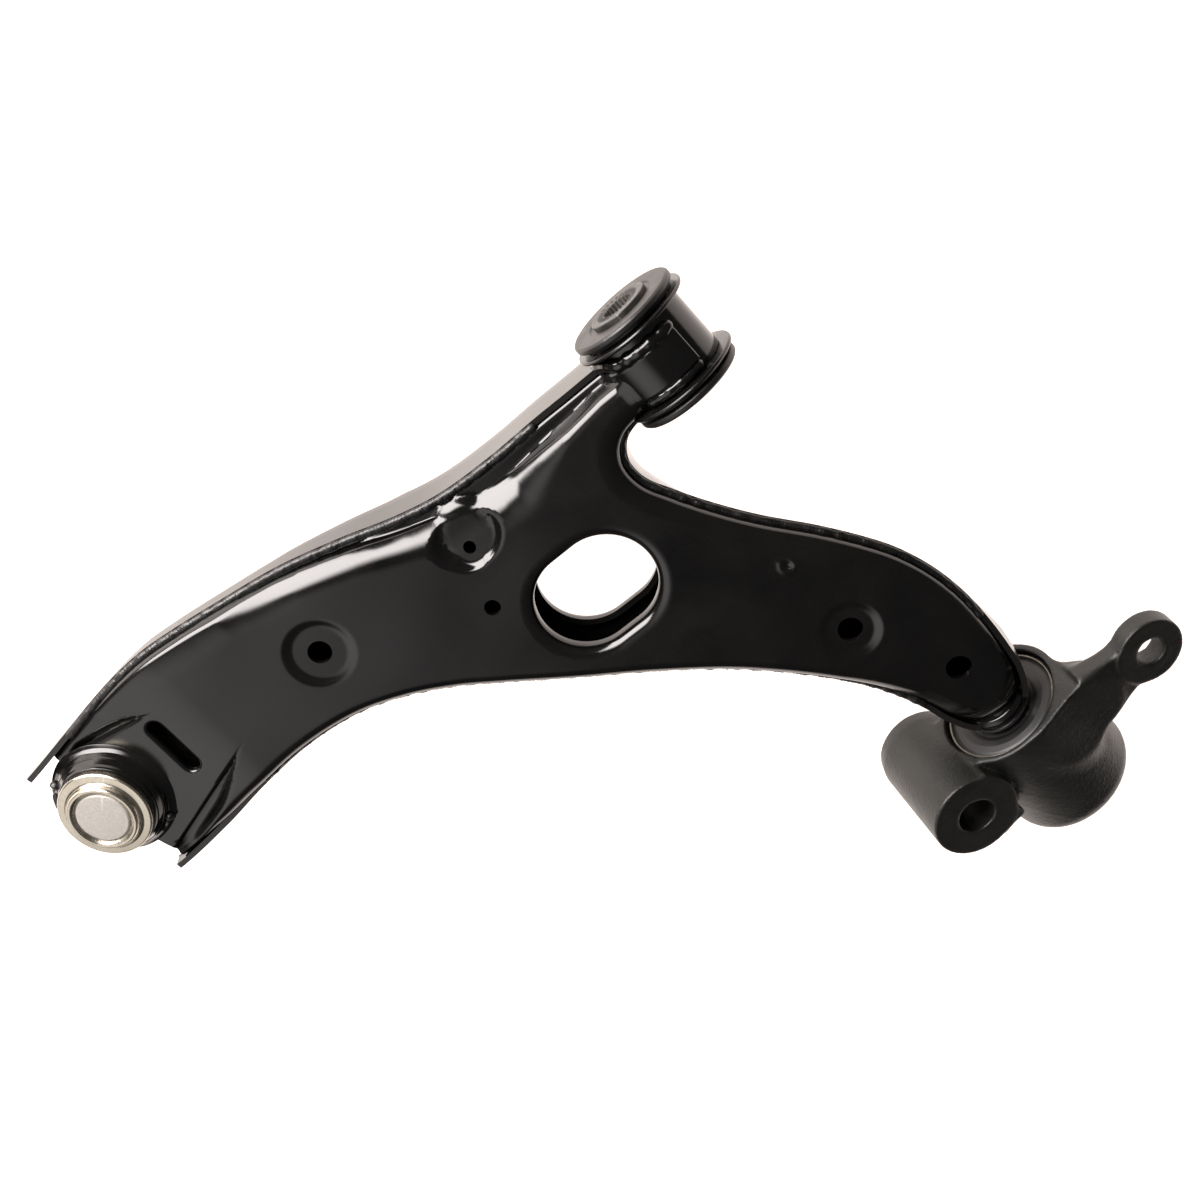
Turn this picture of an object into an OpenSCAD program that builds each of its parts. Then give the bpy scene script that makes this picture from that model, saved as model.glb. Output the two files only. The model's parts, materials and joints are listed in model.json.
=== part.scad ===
// Front lower control arm: two stamped half shells welded along a seam, a rubber bush on a
// cross tube, a rubber bush in a bolted cast bracket, and a ball joint in the outer end.
// Frame: origin at the centre of the front bush, +X along its axis, +Y outboard to the
// ball joint, +Z to the side that the ball joint's closing plate faces.

/* [Arm] */
// Distance from the front bush axis out to the ball joint
reach = 330; // [325:1:335]
// Distance along X from the front bush to the rim of the rear bracket
bush_spacing = 234; // [230:1:240]
// Sheet thickness of both half shells
sheet_t = 2.8; // [2.2:0.1:3.2]
// Height of the flat top of the lower half shell
deck_z = 19; // [17:0.5:21]
// Height of the welded seam
seam_z = 9; // [7:0.5:10]
// Lowest point of the upper half shell
floor_z = -20; // [-22:0.5:-18]
// Radius of the shoulder between deck and skirt
shoulder_r = 9; // [7:0.5:9.5]

/* [Lightening hole] */
// Width along X
hole_w = 46; // [40:1:48]
// Length along Y
hole_l = 58; // [50:1:62]
// Depth of the rolled rim
hole_rim = 8; // [5:0.5:9]

/* [Front bush] */
// Outer radius of the cross tube
tube_r = 22.4; // [22:0.1:23]
// Length of the cross tube
tube_len = 31; // [30.5:0.5:32]
// Radius of the bush can's flange
flange_r = 28.5; // [28:0.5:30.5]
// Radius of the rubber end disc
disc_r = 26; // [25:0.5:27]
// Outer radius of the inner sleeve
sleeve_r = 14.25; // [13.5:0.05:14.5]
// Radius of the bolt bore in the sleeve
sleeve_bore_r = 7.25; // [6.5:0.05:8]
// Length of the inner sleeve
sleeve_len = 50.5; // [50.5:0.5:53]

/* [Ball joint] */
// Lean of the joint axis, outboard from Z, in degrees
ball_lean = 10.5; // [8:0.5:12]
// Radius of the ball
ball_r = 13.5; // [13:0.1:13.6]
// Radius of the stud's neck
neck_r = 8; // [7.5:0.1:8]
// Radius of the stud's clamped shank
shank_r = 9; // [8.5:0.1:9]
// Radius of the housing's plated flange
face_r = 22.7; // [22:0.1:23.5]

/* [Rear bracket] */
// Tilt of the rear bush axis away from Z, in degrees
bush_tilt = 72; // [70:1:74]
// Roll of the bracket's bolt axes about the bush axis, in degrees
bracket_roll = 11; // [8:1:14]
// Outer radius of the pot
pot_r = 31.6; // [31:0.1:32]
// Radius of the pot's bore
pot_bore_r = 28.6; // [28:0.1:29]
// Length of the pot
pot_len = 72; // [70:1:74]
// Offset of the boss from the pot axis
boss_y = 42.5; // [42:0.5:44]
// Offset of the ear from the pot axis
ear_y = -65.5; // [-67:0.5:-64]
// Radius of the bolt bore in the boss
boss_bore_r = 8.9; // [8:0.1:9.2]
// Radius of the bolt bore in the ear
ear_bore_r = 7; // [6:0.1:7.5]
// Length of the boss
boss_l = 60; // [52:1:62]
// Length of the ear
ear_l = 10; // [9:0.5:15]

/* [Hidden] */
$fn = 64;

tube_in_r = tube_r - 2.4;
collar_r = face_r + 2.8;
rear_c = [-bush_spacing, -9.1, -1.4];
ball_c = [-1, reach, 8.5];
bush_len = pot_len - 18;
ramp_y = 270;
weld_r = 2;
floor_r = 6;
seam_gap = 0.2;
// Rear bush: radii of the core, the rubber and the can, and the gap from rim to tail
core_r = 13;
rubber_r = 26.3;
can_r = 27.5;
tail_gap = 1.8;
// Bolt axes in the bracket's frame, and the plane of the near faces
bolt_z = -15.5;
near_x = -28.5;
boss_r = 21.5;
ear_r = 16.5;
fit_gap = 0.05;
// Inset of the deck side's skirt, which stands inside the upper shell's wall
skirt_in = sheet_t + seam_gap;
// Holes with a shallow dish round them: x, y, dish radius, hole radius
DISH = [[-6.5, 201.5, 17, 5.6], [-152, 15, 14.7, 5.8]];
dish_depth = 2;
// Plain holes in the deck: x, y, radius
PLAIN_HOLES = [[-40, 128, 3.8], [-199, -10, 6]];
// Cone pressed into the deck with a small hole in its flat bottom
dimple_c = [-13, 117.5];
dimple_r = 13.5;
dimple_depth = 6;
dimple_hole_r = 2.9;
// Centre of the lightening hole
HOLE_C = [-65, 89];
// Slot between the ball joint and the ramp: its centre from the joint axis, width, length
slot_c = [2.6, -44.4];
slot_w = 7.4;
slot_l = 30.4;
// The sheet's tongue over the cross tube: its ends along X and its half angle from +Z
tongue = [-11, 8];
tongue_a = 41;
// Heights along the joint axis: shoulder of the flange, its face, the raised hub's rim,
// the closing plate's seat, the ball's centre and the housing's open mouth
shoulder_h = 10;
face_h = 14;
hub_h = 17.6;
plate_h = 14;
ball_h = -3;
mouth_h = -17;
// Turned fits inside the housing and the groove for the boot's base ring
housing_r = 21;
seat_r = ball_r + 3.6;
plug_r = 13.3;
plate_r = 15;
plate_t = 1.3;
ring_h = -15;
ring_r = 19.6;
ring_t = 2.4;

// Outline of the upper shell's wall, clockwise from the outboard front corner.
OUTLINE = [
    [30, 378], [32, 354], [37, 324], [42, 295], [44, 270], [42.5, 248], [39, 222],
    [34, 190], [26, 160], [18, 135], [13, 112], [11.5, 85], [12, 58], [12, 34],
    [13, 4], [20, -30], [-4, -56], [-28, -30], [-20, 4], [-19, 28], [-27, 38.5],
    [-39, 39.5], [-52, 33.5], [-68, 24.5], [-86, 12.5], [-107, -4], [-126, -17], [-140, -24.5], [-156, -30],
    [-173, -33], [-190, -33.5], [-207, -32.5], [-223, -30], [-237, -22], [-241, -8],
    [-234, 5], [-222, 12], [-209, 16], [-196, 21.5], [-182, 29.5], [-165, 42.5],
    [-148, 58], [-132, 75], [-114, 98], [-94, 126], [-74, 153], [-62, 170], [-51, 190], [-43, 213],
    [-40, 242], [-42, 272], [-46, 300], [-48.5, 333], [-46, 362], [-10, 392]];
STEPS = 2;
// First and last corners of the leaning wall, and its run for each unit of fall
LEAN = [20, 31];
lean = 0.45;
// First and last corners of the three seam welds
FRONT_SEAM = [2, 12];
CROTCH_SEAM = [19, 30];
REAR_SEAM = [37, 50];

function spline(a, b, c, d, t) =
    0.5 * (2 * b + (c - a) * t + (2 * a - 5 * b + 4 * c - d) * t * t
        + (3 * b - a - 3 * c + d) * t * t * t);
function smooth_loop(p) = let (n = len(p))
    [for (i = [0 : n - 1], k = [0 : STEPS - 1])
        spline(p[(i + n - 1) % n], p[i], p[(i + 1) % n], p[(i + 2) % n], k / STEPS)];
function unit(v) = v / norm(v);
// Share of the full inward lean that the wall has at outline corner c
function lean_at(c) = max(0, min(1, (c - LEAN[0]) / 3, (LEAN[1] - c) / 3));
// Every point moved inward by d along its normal, at height z. Below the seam the wall
// between the crotch and the tail leans inward; a core point only clears that lean.
function inset(loop, d, z, core = false) = let (n = len(loop))
    [for (i = [0 : n - 1])
        let (t = unit(loop[(i + 1) % n] - loop[(i + n - 1) % n]),
             fall = core ? seam_z - floor_z : max(0, seam_z - z),
             move = d + lean * fall * lean_at(i / STEPS))
            [loop[i].x + move * t.y, loop[i].y - move * t.x, z]];
LOOP = smooth_loop(OUTLINE);

// Solid inside the outline whose edge follows profile, a closed list of [inset, z] corners.
// Its last two corners stand on the innermost inset, where a plain core fills the middle.
module shaped(profile) {
    n = len(LOOP);
    m = len(profile);
    core = profile[m - 1];
    top = max([for (p = profile) p.y]);
    bottom = min([for (p = profile) p.y]);
    polyhedron(
        points = [for (k = [0 : m - 1])
            each inset(LOOP, profile[k].x, profile[k].y, profile[k].x == core.x)],
        faces = [for (k = [0 : m - 1], i = [0 : n - 1])
            let (j = (i + 1) % n, a = k * n, b = (k + 1) % m * n) each
                [[a + i, b + j, a + j], [a + i, b + i, b + j]]]);
    translate([0, 0, bottom]) linear_extrude(top - bottom)
        polygon([for (p = inset(LOOP, core.x, 0, true)) [p.x, p.y]]);
}

// Round bead along a path
module bead(path, r, sides = 8) {
    n = len(path);
    polyhedron(
        points = [for (i = [0 : n - 1])
            let (t = unit(path[min(i + 1, n - 1)] - path[max(i - 1, 0)]),
                 side = unit(cross(t, [0, 0, 1])), up = cross(side, t)) each
                [for (k = [0 : sides - 1]) path[i]
                    + r * (cos(360 * k / sides) * side + sin(360 * k / sides) * up)]],
        faces = concat(
            [[for (k = [0 : sides - 1]) sides - 1 - k]],
            [for (i = [0 : n - 2], k = [0 : sides - 1])
                let (a = i * sides, j = (k + 1) % sides) each
                    [[a + k, a + j, a + sides + j], [a + k, a + sides + j, a + sides + k]]],
            [[for (k = [0 : sides - 1]) (n - 1) * sides + k]]));
}

module at_ball() {
    translate(ball_c) rotate([-ball_lean, 0, 0]) children();
}

module at_bracket() {
    translate(rear_c) rotate([0, bush_tilt, 0]) rotate([0, 0, bracket_roll]) children();
}

module along_x(x) {
    translate([x, 0, 0]) rotate([0, 90, 0]) children();
}

module ring(r_out, r_in, h) {
    difference() {
        cylinder(r = r_out, h = h);
        translate([0, 0, -1]) cylinder(r = r_in, h = h + 2);
    }
}

// Oval with round ends, long along Y
module oval(w, l) {
    for (s = [-1, 1]) translate([0, s * (l - w) / 2]) circle(d = w);
    square([w, l - w], center = true);
}

// Region inside the rounded nose that both sheets are trimmed to
module nose(h) {
    linear_extrude(h) {
        translate([-120, -60]) square([200, reach + 62]);
        translate([-400, -60]) square([400, 300]);
        translate([ball_c.x, reach]) circle(r = 29);
    }
}

// Region inboard of the two flange tips
module tips(h) {
    linear_extrude(h) polygon([[-400, -100], [100, -100], [100, 374], [32, 355.5],
        [-49, 333.5], [-200, 293]]);
}

// Space taken by the cross tube and everything inboard of it
module tube_seat() {
    along_x(-60) cylinder(r = tube_r, h = 120);
    along_x(-60) cylinder(r = flange_r + 0.5, h = 60.7 - tube_len / 2);
    translate([-45, -80, -30]) cube([90, 80, 60]);
}

// Space that the rear pin and its weld take in the tail
module pin_seat() {
    at_bracket() translate([0, 0, -20]) cylinder(r = 11, h = 46);
}

// Space on the bracket's side of the tail's cut end
module beyond_tail() {
    at_bracket() translate([-60, -60, tail_gap - 60]) cube([120, 120, 60]);
}

// Space under the deck's outer face moved down by drop: flat, then ramps at both ends
module under_deck(drop) {
    slope = (deck_z - ball_c.z) / (reach - ramp_y);
    intersection() {
        translate([200, 0, 0]) rotate([90, 0, -90]) linear_extrude(600)
            polygon([[60, -60], [60, deck_z - drop], [-ramp_y, deck_z - drop],
                [-reach - 80, deck_z - drop - slope * (reach + 80 - ramp_y)],
                [-reach - 80, -60]]);
        translate([0, 500, 0]) rotate([90, 0, 0]) linear_extrude(700)
            polygon([[200, -60], [200, deck_z - drop], [-196, deck_z - drop],
                [-250, deck_z - 5 - drop], [-250, -60]]);
    }
}

// Space over the upper shell's floor moved up by lift
module over_floor(lift) {
    intersection() {
        translate([200, 0, 0]) rotate([90, 0, -90]) linear_extrude(600)
            polygon([[60, 60], [60, floor_z + lift], [-132, floor_z + lift],
                [-196, floor_z + 13 + lift], [-262, floor_z + 15.5 + lift],
                [-300, floor_z + 22.2 + lift], [-345, floor_z + 14.8 + lift],
                [-reach - 80, floor_z + 12 + lift], [-reach - 80, 60]]);
        translate([0, 500, 0]) rotate([90, 0, 0]) linear_extrude(700)
            polygon([[200, 60], [200, floor_z + lift], [-158, floor_z + lift],
                [-250, floor_z + 17 + lift], [-250, 60]]);
    }
}

// Edge of the deck side: shoulder of radius r down to a straight skirt
function deck_edge(d, drop, r, foot) = concat(
    [for (a = [90 : -30 : 30]) [d + r * (1 - cos(a)), deck_z - drop - r * (1 - sin(a))]],
    [[d, deck_z - drop - r], [d, foot], [d + r, foot]]);
// Edge of the floor side: straight wall down to a corner of radius r
function floor_edge(d, lift, r, top) = concat(
    top > seam_z ? [[d, top], [d, seam_z]] : [[d, top]],
    [[d, floor_z + lift + r]],
    [for (a = [30 : 30 : 90]) [d + r * (1 - cos(a)), floor_z + lift + r * (1 - sin(a))]],
    [[d + r, top]]);

// Tongue of the deck side that lies over the cross tube
module tube_tongue() {
    along_x(tongue[0]) rotate(180 - tongue_a) rotate_extrude(angle = 2 * tongue_a)
        translate([tube_r + fit_gap, 0]) square([sheet_t, tongue[1] - tongue[0]]);
}

module lower_shell() {
    color([0.06, 0.06, 0.065]) {
        difference() {
            union() {
                difference() {
                    intersection() {
                        shaped(deck_edge(skirt_in, 0, shoulder_r, seam_z - 7));
                        under_deck(0);
                        over_floor(sheet_t + seam_gap);
                        translate([0, 0, -60]) nose(120);
                        translate([0, 0, -60]) tips(120);
                    }
                    intersection() {
                        shaped(deck_edge(skirt_in + sheet_t, sheet_t, shoulder_r - sheet_t,
                            seam_z - 9));
                        under_deck(sheet_t);
                    }
                }
                intersection() {
                    under_deck(0);
                    union() {
                        for (d = DISH) translate([d.x, d.y, deck_z - 6])
                            cylinder(r = d.z + 1, h = 6);
                        translate([HOLE_C.x, HOLE_C.y, deck_z - hole_rim])
                            linear_extrude(hole_rim)
                                oval(hole_w + 2 * sheet_t, hole_l + 2 * sheet_t);
                        translate([dimple_c.x, dimple_c.y, deck_z - dimple_depth - sheet_t])
                            cylinder(r = dimple_r, h = dimple_depth + sheet_t - 1);
                        translate([1.6, reach - 43.7, 6]) linear_extrude(20) rotate(90)
                            oval(slot_w + 3.1, slot_l + 2.6);
                    }
                }
            }
            for (d = DISH) translate([d.x, d.y, 0]) {
                cylinder(r = d[3], h = 40);
                translate([0, 0, deck_z - dish_depth])
                    cylinder(r1 = d.z - 3, r2 = d.z + 0.2, h = dish_depth + 0.2);
            }
            for (p = PLAIN_HOLES) translate([p.x, p.y, 0]) cylinder(r = p.z, h = 40);
            translate([dimple_c.x, dimple_c.y, deck_z - dimple_depth])
                cylinder(r1 = 8, r2 = dimple_r, h = dimple_depth + 0.2);
            translate([dimple_c.x, dimple_c.y, 0]) cylinder(r = dimple_hole_r, h = 40);
            translate([HOLE_C.x, HOLE_C.y, 0]) linear_extrude(40) oval(hole_w, hole_l);
            at_ball() {
                translate([slot_c.x, slot_c.y, -2]) linear_extrude(20) rotate(90) oval(slot_w, slot_l);
                translate([0, 0, -30]) cylinder(r = collar_r, h = 60);
                // blade-shaped grooves on both sides of the joint
                for (s = [-1, 1]) translate([s * 27, -24, -1.4]) rotate(s * -10)
                    linear_extrude(10) polygon([[-3, 12], [3, 12], [0, -34]]);
            }
            tube_seat();
            beyond_tail();
            pin_seat();
        }
        tube_tongue();
    }
}

module upper_shell() {
    color([0.05, 0.05, 0.055]) difference() {
        union() {
            difference() {
                intersection() {
                    shaped(floor_edge(0, 0, floor_r, seam_z));
                    over_floor(0);
                    translate([0, 0, -60]) tips(120);
                }
                intersection() {
                    shaped(floor_edge(sheet_t, sheet_t, floor_r - sheet_t, seam_z + 5));
                    over_floor(sheet_t);
                }
                difference() {
                    translate([0, 0, -59]) linear_extrude(100)
                        polygon([for (p = inset(LOOP, sheet_t, seam_z)) [p.x, p.y]]);
                    translate([0, 0, -60]) nose(120);
                }
            }
            translate([HOLE_C.x, HOLE_C.y, floor_z]) linear_extrude(hole_rim)
                oval(hole_w + 2 * sheet_t, hole_l + 2 * sheet_t);
        }
        translate([HOLE_C.x, HOLE_C.y, -40]) linear_extrude(80) oval(hole_w, hole_l);
        at_ball() translate([0, 0, -40]) cylinder(r = face_r - 1, h = 80);
        tube_seat();
        beyond_tail();
        pin_seat();
    }
}

module seam(from, to) {
    color([0.08, 0.08, 0.08]) bead([for (i = [from * STEPS : to * STEPS])
        inset(LOOP, sheet_t / 2 + 0.9, seam_z + 0.6)[i]], weld_r);
}

module seam_weld_front() { seam(FRONT_SEAM[0], FRONT_SEAM[1]); }
module seam_weld_crotch() { seam(CROTCH_SEAM[0], CROTCH_SEAM[1]); }
module seam_weld_rear() { seam(REAR_SEAM[0], REAR_SEAM[1]); }

module front_bush_tube() {
    color([0.05, 0.05, 0.05]) along_x(-tube_len / 2) ring(tube_r, tube_in_r, tube_len);
}

// Fillet welds: along both edges of the tongue, down the near wall, and under the floor
module front_bush_weld() {
    // place along X, and first and last angle from +Z
    arcs = [[tongue[1] + 1.4, -tongue_a, tongue_a + 5], [tongue[1] + 4.2, tongue_a, 130],
        [tongue[0] - 1.4, -tongue_a, tongue_a]];
    low_z = floor_z + 1;
    color([0.08, 0.08, 0.08]) difference() {
        union() {
            translate([-12, sqrt(pow(tube_r + 1, 2) - low_z * low_z) + 0.6, low_z])
                rotate([0, 90, 0]) cylinder(r = 3, h = 24, $fn = 24);
            for (w = arcs) along_x(w[0]) rotate(180 - w[2]) rotate_extrude(angle = w[2] - w[1])
                translate([tube_r + 0.6, 0]) circle(r = 2.4, $fn = 24);
        }
        along_x(-60) cylinder(r = tube_r, h = 120);
    }
}

module can(side) {
    color([0.07, 0.07, 0.07]) mirror([side < 0 ? 1 : 0, 0, 0]) along_x(0.5) difference() {
        union() {
            cylinder(r = tube_in_r, h = tube_len / 2);
            translate([0, 0, tube_len / 2 - 0.5]) cylinder(r = flange_r, h = 2.5);
        }
        translate([0, 0, -1]) cylinder(r = tube_in_r - 1.8, h = 40);
    }
}

module front_can_near() { can(1); }
module front_can_far() { can(-1); }

// Rubber half: body in the can, a groove over the flange and the thick end disc
module rubber_half(side) {
    color([0.16, 0.15, 0.14]) mirror([side < 0 ? 1 : 0, 0, 0]) rotate([0, 90, 0])
        rotate_extrude() polygon([[sleeve_r + fit_gap, 1], [tube_in_r - 1.8, 1],
            [tube_in_r - 1.8, tube_len / 2 + 2.5], [disc_r - 3.5, tube_len / 2 + 2.5],
            [disc_r - 3.5, tube_len / 2 + 4.2], [disc_r, tube_len / 2 + 4.5],
            [disc_r, tube_len / 2 + 7.2], [disc_r - 0.8, tube_len / 2 + 8],
            [sleeve_r + fit_gap, tube_len / 2 + 8]]);
}

module front_rubber_near() { rubber_half(1); }
module front_rubber_far() { rubber_half(-1); }

// Steel sleeve with radial teeth on both end faces
module front_sleeve() {
    color([0.55, 0.55, 0.56]) difference() {
        along_x(-sleeve_len / 2) ring(sleeve_r, sleeve_bore_r, sleeve_len);
        for (side = [-1, 1], a = [0 : 15 : 345]) rotate([a, 0, 0])
            translate([side * sleeve_len / 2, 0, 9.8]) rotate([0, 0, 45])
                cube([0.9, 0.9, 3], center = true);
    }
}

// Turned housing: plated flange and raised hub above, ball seat inside, open mouth below
module ball_housing() {
    color([0.78, 0.76, 0.68]) at_ball() difference() {
        union() {
            translate([0, 0, mouth_h]) cylinder(r = housing_r, h = shoulder_h - mouth_h);
            translate([0, 0, shoulder_h]) cylinder(r = face_r, h = face_h - shoulder_h);
            translate([0, 0, face_h]) cylinder(r1 = 17.8, r2 = 16.6, h = hub_h - face_h);
        }
        translate([0, 0, ball_h]) {
            sphere(r = seat_r + 0.1);
            cylinder(r = seat_r + 0.1, h = 9);
        }
        translate([0, 0, 5.9]) cylinder(r = plate_r, h = plate_h + plate_t - 5.9);
        cylinder(r = plug_r, h = hub_h + 1);
        translate([0, 0, mouth_h - 1]) cylinder(r1 = 17.6, r2 = 13, h = 7);
        translate([0, 0, ring_h]) difference() {
            cylinder(r = 25, h = ring_t);
            cylinder(r = ring_r, h = ring_t);
        }
    }
}

// Black collar that the housing is pressed into, with a turned groove
module ball_collar() {
    color([0.05, 0.05, 0.05]) at_ball() difference() {
        union() {
            translate([0, 0, -1]) cylinder(r = collar_r, h = 8.2);
            translate([0, 0, 7.2]) cylinder(r = 23.6, h = 2.8);
        }
        translate([0, 0, -2]) cylinder(r = housing_r, h = 20);
    }
}

module collar_weld() {
    color([0.08, 0.08, 0.08]) at_ball() difference() {
        union() {
            rotate_extrude() translate([26, 0]) circle(r = 2.2, $fn = 24);
            for (a = [35, 215]) rotate(a) translate([27, 0, 1]) sphere(r = 3, $fn = 24);
        }
        translate([0, 0, -5]) cylinder(r = collar_r, h = 12);
        translate([0, 0, -12]) cylinder(r = 40, h = 12);
    }
}

module closing_plate() {
    color([0.72, 0.71, 0.70]) at_ball() {
        translate([0, 0, plate_h]) cylinder(r = plate_r, h = plate_t);
        translate([0, 0, plate_h + plate_t]) cylinder(r = plug_r, h = 1.3);
    }
}

// Plastic pad that closes the seat under the plate
module preload_pad() {
    color([0.85, 0.83, 0.76]) at_ball() difference() {
        translate([0, 0, 6.2]) cylinder(r = plate_r - 0.1, h = plate_h - 6.4);
        translate([0, 0, ball_h]) sphere(r = seat_r + 0.3);
    }
}

// Plastic seat around the ball, a zone of a sphere
module ball_race() {
    color([0.88, 0.87, 0.82]) at_ball() translate([0, 0, ball_h]) difference() {
        sphere(r = seat_r);
        sphere(r = ball_r + fit_gap);
        translate([0, 0, 6.5]) cylinder(r = 20, h = 20);
        translate([0, 0, -27]) cylinder(r = 20, h = 20);
    }
}

// Ball, neck and clamped shank with the pinch bolt's groove
module ball_stud() {
    color([0.62, 0.61, 0.58]) at_ball() translate([0, 0, ball_h]) difference() {
        union() {
            sphere(r = ball_r);
            translate([0, 0, -34]) cylinder(r = neck_r, h = 26);
            translate([0, 0, -36]) cylinder(r1 = shank_r, r2 = shank_r + 1.5, h = 2);
            translate([0, 0, -66]) cylinder(r = shank_r, h = 30);
            translate([0, 0, -68]) cylinder(r1 = shank_r - 1.5, r2 = shank_r, h = 2);
        }
        translate([0, 0, -51]) rotate_extrude() translate([shank_r + 2.5, 0]) circle(r = 4.5);
        translate([0, 0, ball_r - 2]) cylinder(r = 9, h = 10);
    }
}

// Folded rubber boot from the housing's groove to the neck ring
module dust_boot() {
    color([0.09, 0.09, 0.09]) at_ball() rotate_extrude() polygon([
        [21.3, -12], [21.3, -15.6], [24.4, -18.5], [24.8, -21.5], [22.6, -25], [18.5, -27.6],
        [15.5, -29.5], [11.6, -31.8], [11.6, -35.6], [13.4, -35.6], [14, -32.9],
        [17.2, -30.9], [20.6, -29], [25, -26], [27, -21.5], [26.2, -17.4], [23.4, -14.5],
        [23.4, -12]]);
}

module boot_base_ring() {
    color([0.5, 0.5, 0.5]) at_ball() translate([0, 0, ring_h])
        ring(housing_r + 0.3, ring_r, ring_t);
}

module boot_neck_ring() {
    color([0.5, 0.5, 0.5]) at_ball() translate([0, 0, -35.6])
        ring(11.3, neck_r + fit_gap, 3.4);
}

// Forged pin from inside the tail to the bush core
module rear_pin() {
    color([0.05, 0.05, 0.05]) at_bracket() {
        translate([0, 0, -bush_len]) cylinder(r = 10, h = bush_len + 6);
        translate([0, 0, 0.5]) cylinder(r = 10.8, h = 8.5);
    }
}

module pin_weld() {
    color([0.08, 0.08, 0.08]) at_bracket() translate([0, 0, 2.6]) rotate_extrude()
        translate([12.4, 0]) circle(r = 1.8, $fn = 24);
}

module rear_bush_core() {
    color([0.5, 0.5, 0.5]) at_bracket() {
        translate([0, 0, -bush_len]) ring(core_r, 10, bush_len - 2);
        translate([0, 0, -2]) ring(15.5, 10, 2);
    }
}

module rear_rubber() {
    color([0.07, 0.07, 0.07]) at_bracket() rotate_extrude() polygon([
        [core_r + fit_gap, -bush_len], [rubber_r, -bush_len], [rubber_r, -4], [22, -3],
        [17, -3.4], [core_r + fit_gap, -4]]);
}

module rear_can() {
    color([0.55, 0.54, 0.5]) at_bracket() translate([0, 0, -bush_len - 4])
        ring(can_r, rubber_r, bush_len + 1.5);
}

module rear_outer_rubber() {
    color([0.07, 0.07, 0.07]) at_bracket() translate([0, 0, -bush_len - 4])
        ring(pot_bore_r, can_r, bush_len - 1);
}

// Bar between two circles in the bracket's y-z plane, from near_x + x on, h long
module limb(x, h, y1, r1, y2, r2) {
    translate([near_x + x, 0, bolt_z]) rotate([0, 90, 0]) linear_extrude(h) hull() {
        translate([0, y1]) circle(r = r1);
        translate([0, y2]) circle(r = r2);
    }
}

// Cast pot with a closed rounded end, a long bolt boss on one side and an ear on the other
module rear_bracket() {
    color([0.09, 0.09, 0.09]) at_bracket() difference() {
        union() {
            rotate_extrude() polygon([[0, 0], [pot_r - 1, 0], [pot_r, -1],
                [pot_r, 12 - pot_len], [pot_r - 1.2, 6.8 - pot_len],
                [pot_r - 3.6, 3.6 - pot_len], [pot_r - 6.8, 1.2 - pot_len],
                [pot_r - 12, -pot_len], [0, -pot_len]]);
            translate([near_x, boss_y, bolt_z]) rotate([0, 90, 0]) {
                cylinder(r = boss_r, h = boss_l - 8);
                translate([0, 0, boss_l - 8]) cylinder(r1 = boss_r, r2 = boss_r - 2, h = 8);
            }
            // web, flush with the boss's near face
            translate([near_x, boss_y - 16.5, bolt_z - 21]) cube([46, 14, 37]);
            translate([near_x + 10, 14, bolt_z - 19]) cube([36, 14, 33]);
            limb(0, ear_l, ear_y, ear_r, ear_y, ear_r);
            limb(1, ear_l - 1, ear_y, 10, -20, 19);
            limb(1.5, 20, ear_y + 36, 15, -20, 21);
        }
        translate([0, 0, 10 - pot_len]) cylinder(r = pot_bore_r, h = pot_len);
        translate([near_x - 1, boss_y, bolt_z]) rotate([0, 90, 0])
            cylinder(r = boss_bore_r, h = boss_l + 8);
        translate([near_x - 1, ear_y, bolt_z]) rotate([0, 90, 0])
            cylinder(r = ear_bore_r, h = ear_l + 8);
    }
}

lower_shell();
upper_shell();
seam_weld_front();
seam_weld_rear();
seam_weld_crotch();
front_bush_tube();
front_bush_weld();
front_can_near();
front_can_far();
front_rubber_near();
front_rubber_far();
front_sleeve();
ball_housing();
ball_collar();
collar_weld();
closing_plate();
preload_pad();
ball_race();
ball_stud();
dust_boot();
boot_base_ring();
boot_neck_ring();
rear_pin();
pin_weld();
rear_bush_core();
rear_rubber();
rear_can();
rear_outer_rubber();
rear_bracket();
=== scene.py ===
"""Front lower control arm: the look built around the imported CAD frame.

Row frame, metres: origin at the front bush centre, +X along its axis, +Y out to the ball
joint, +Z to the side that the closing plate faces. Shapes are worked out in millimetres.
"""

import json
import math

import bmesh
import bpy
import numpy as np
from mathutils import Matrix, Vector
from mathutils.geometry import delaunay_2d_cdt


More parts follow.
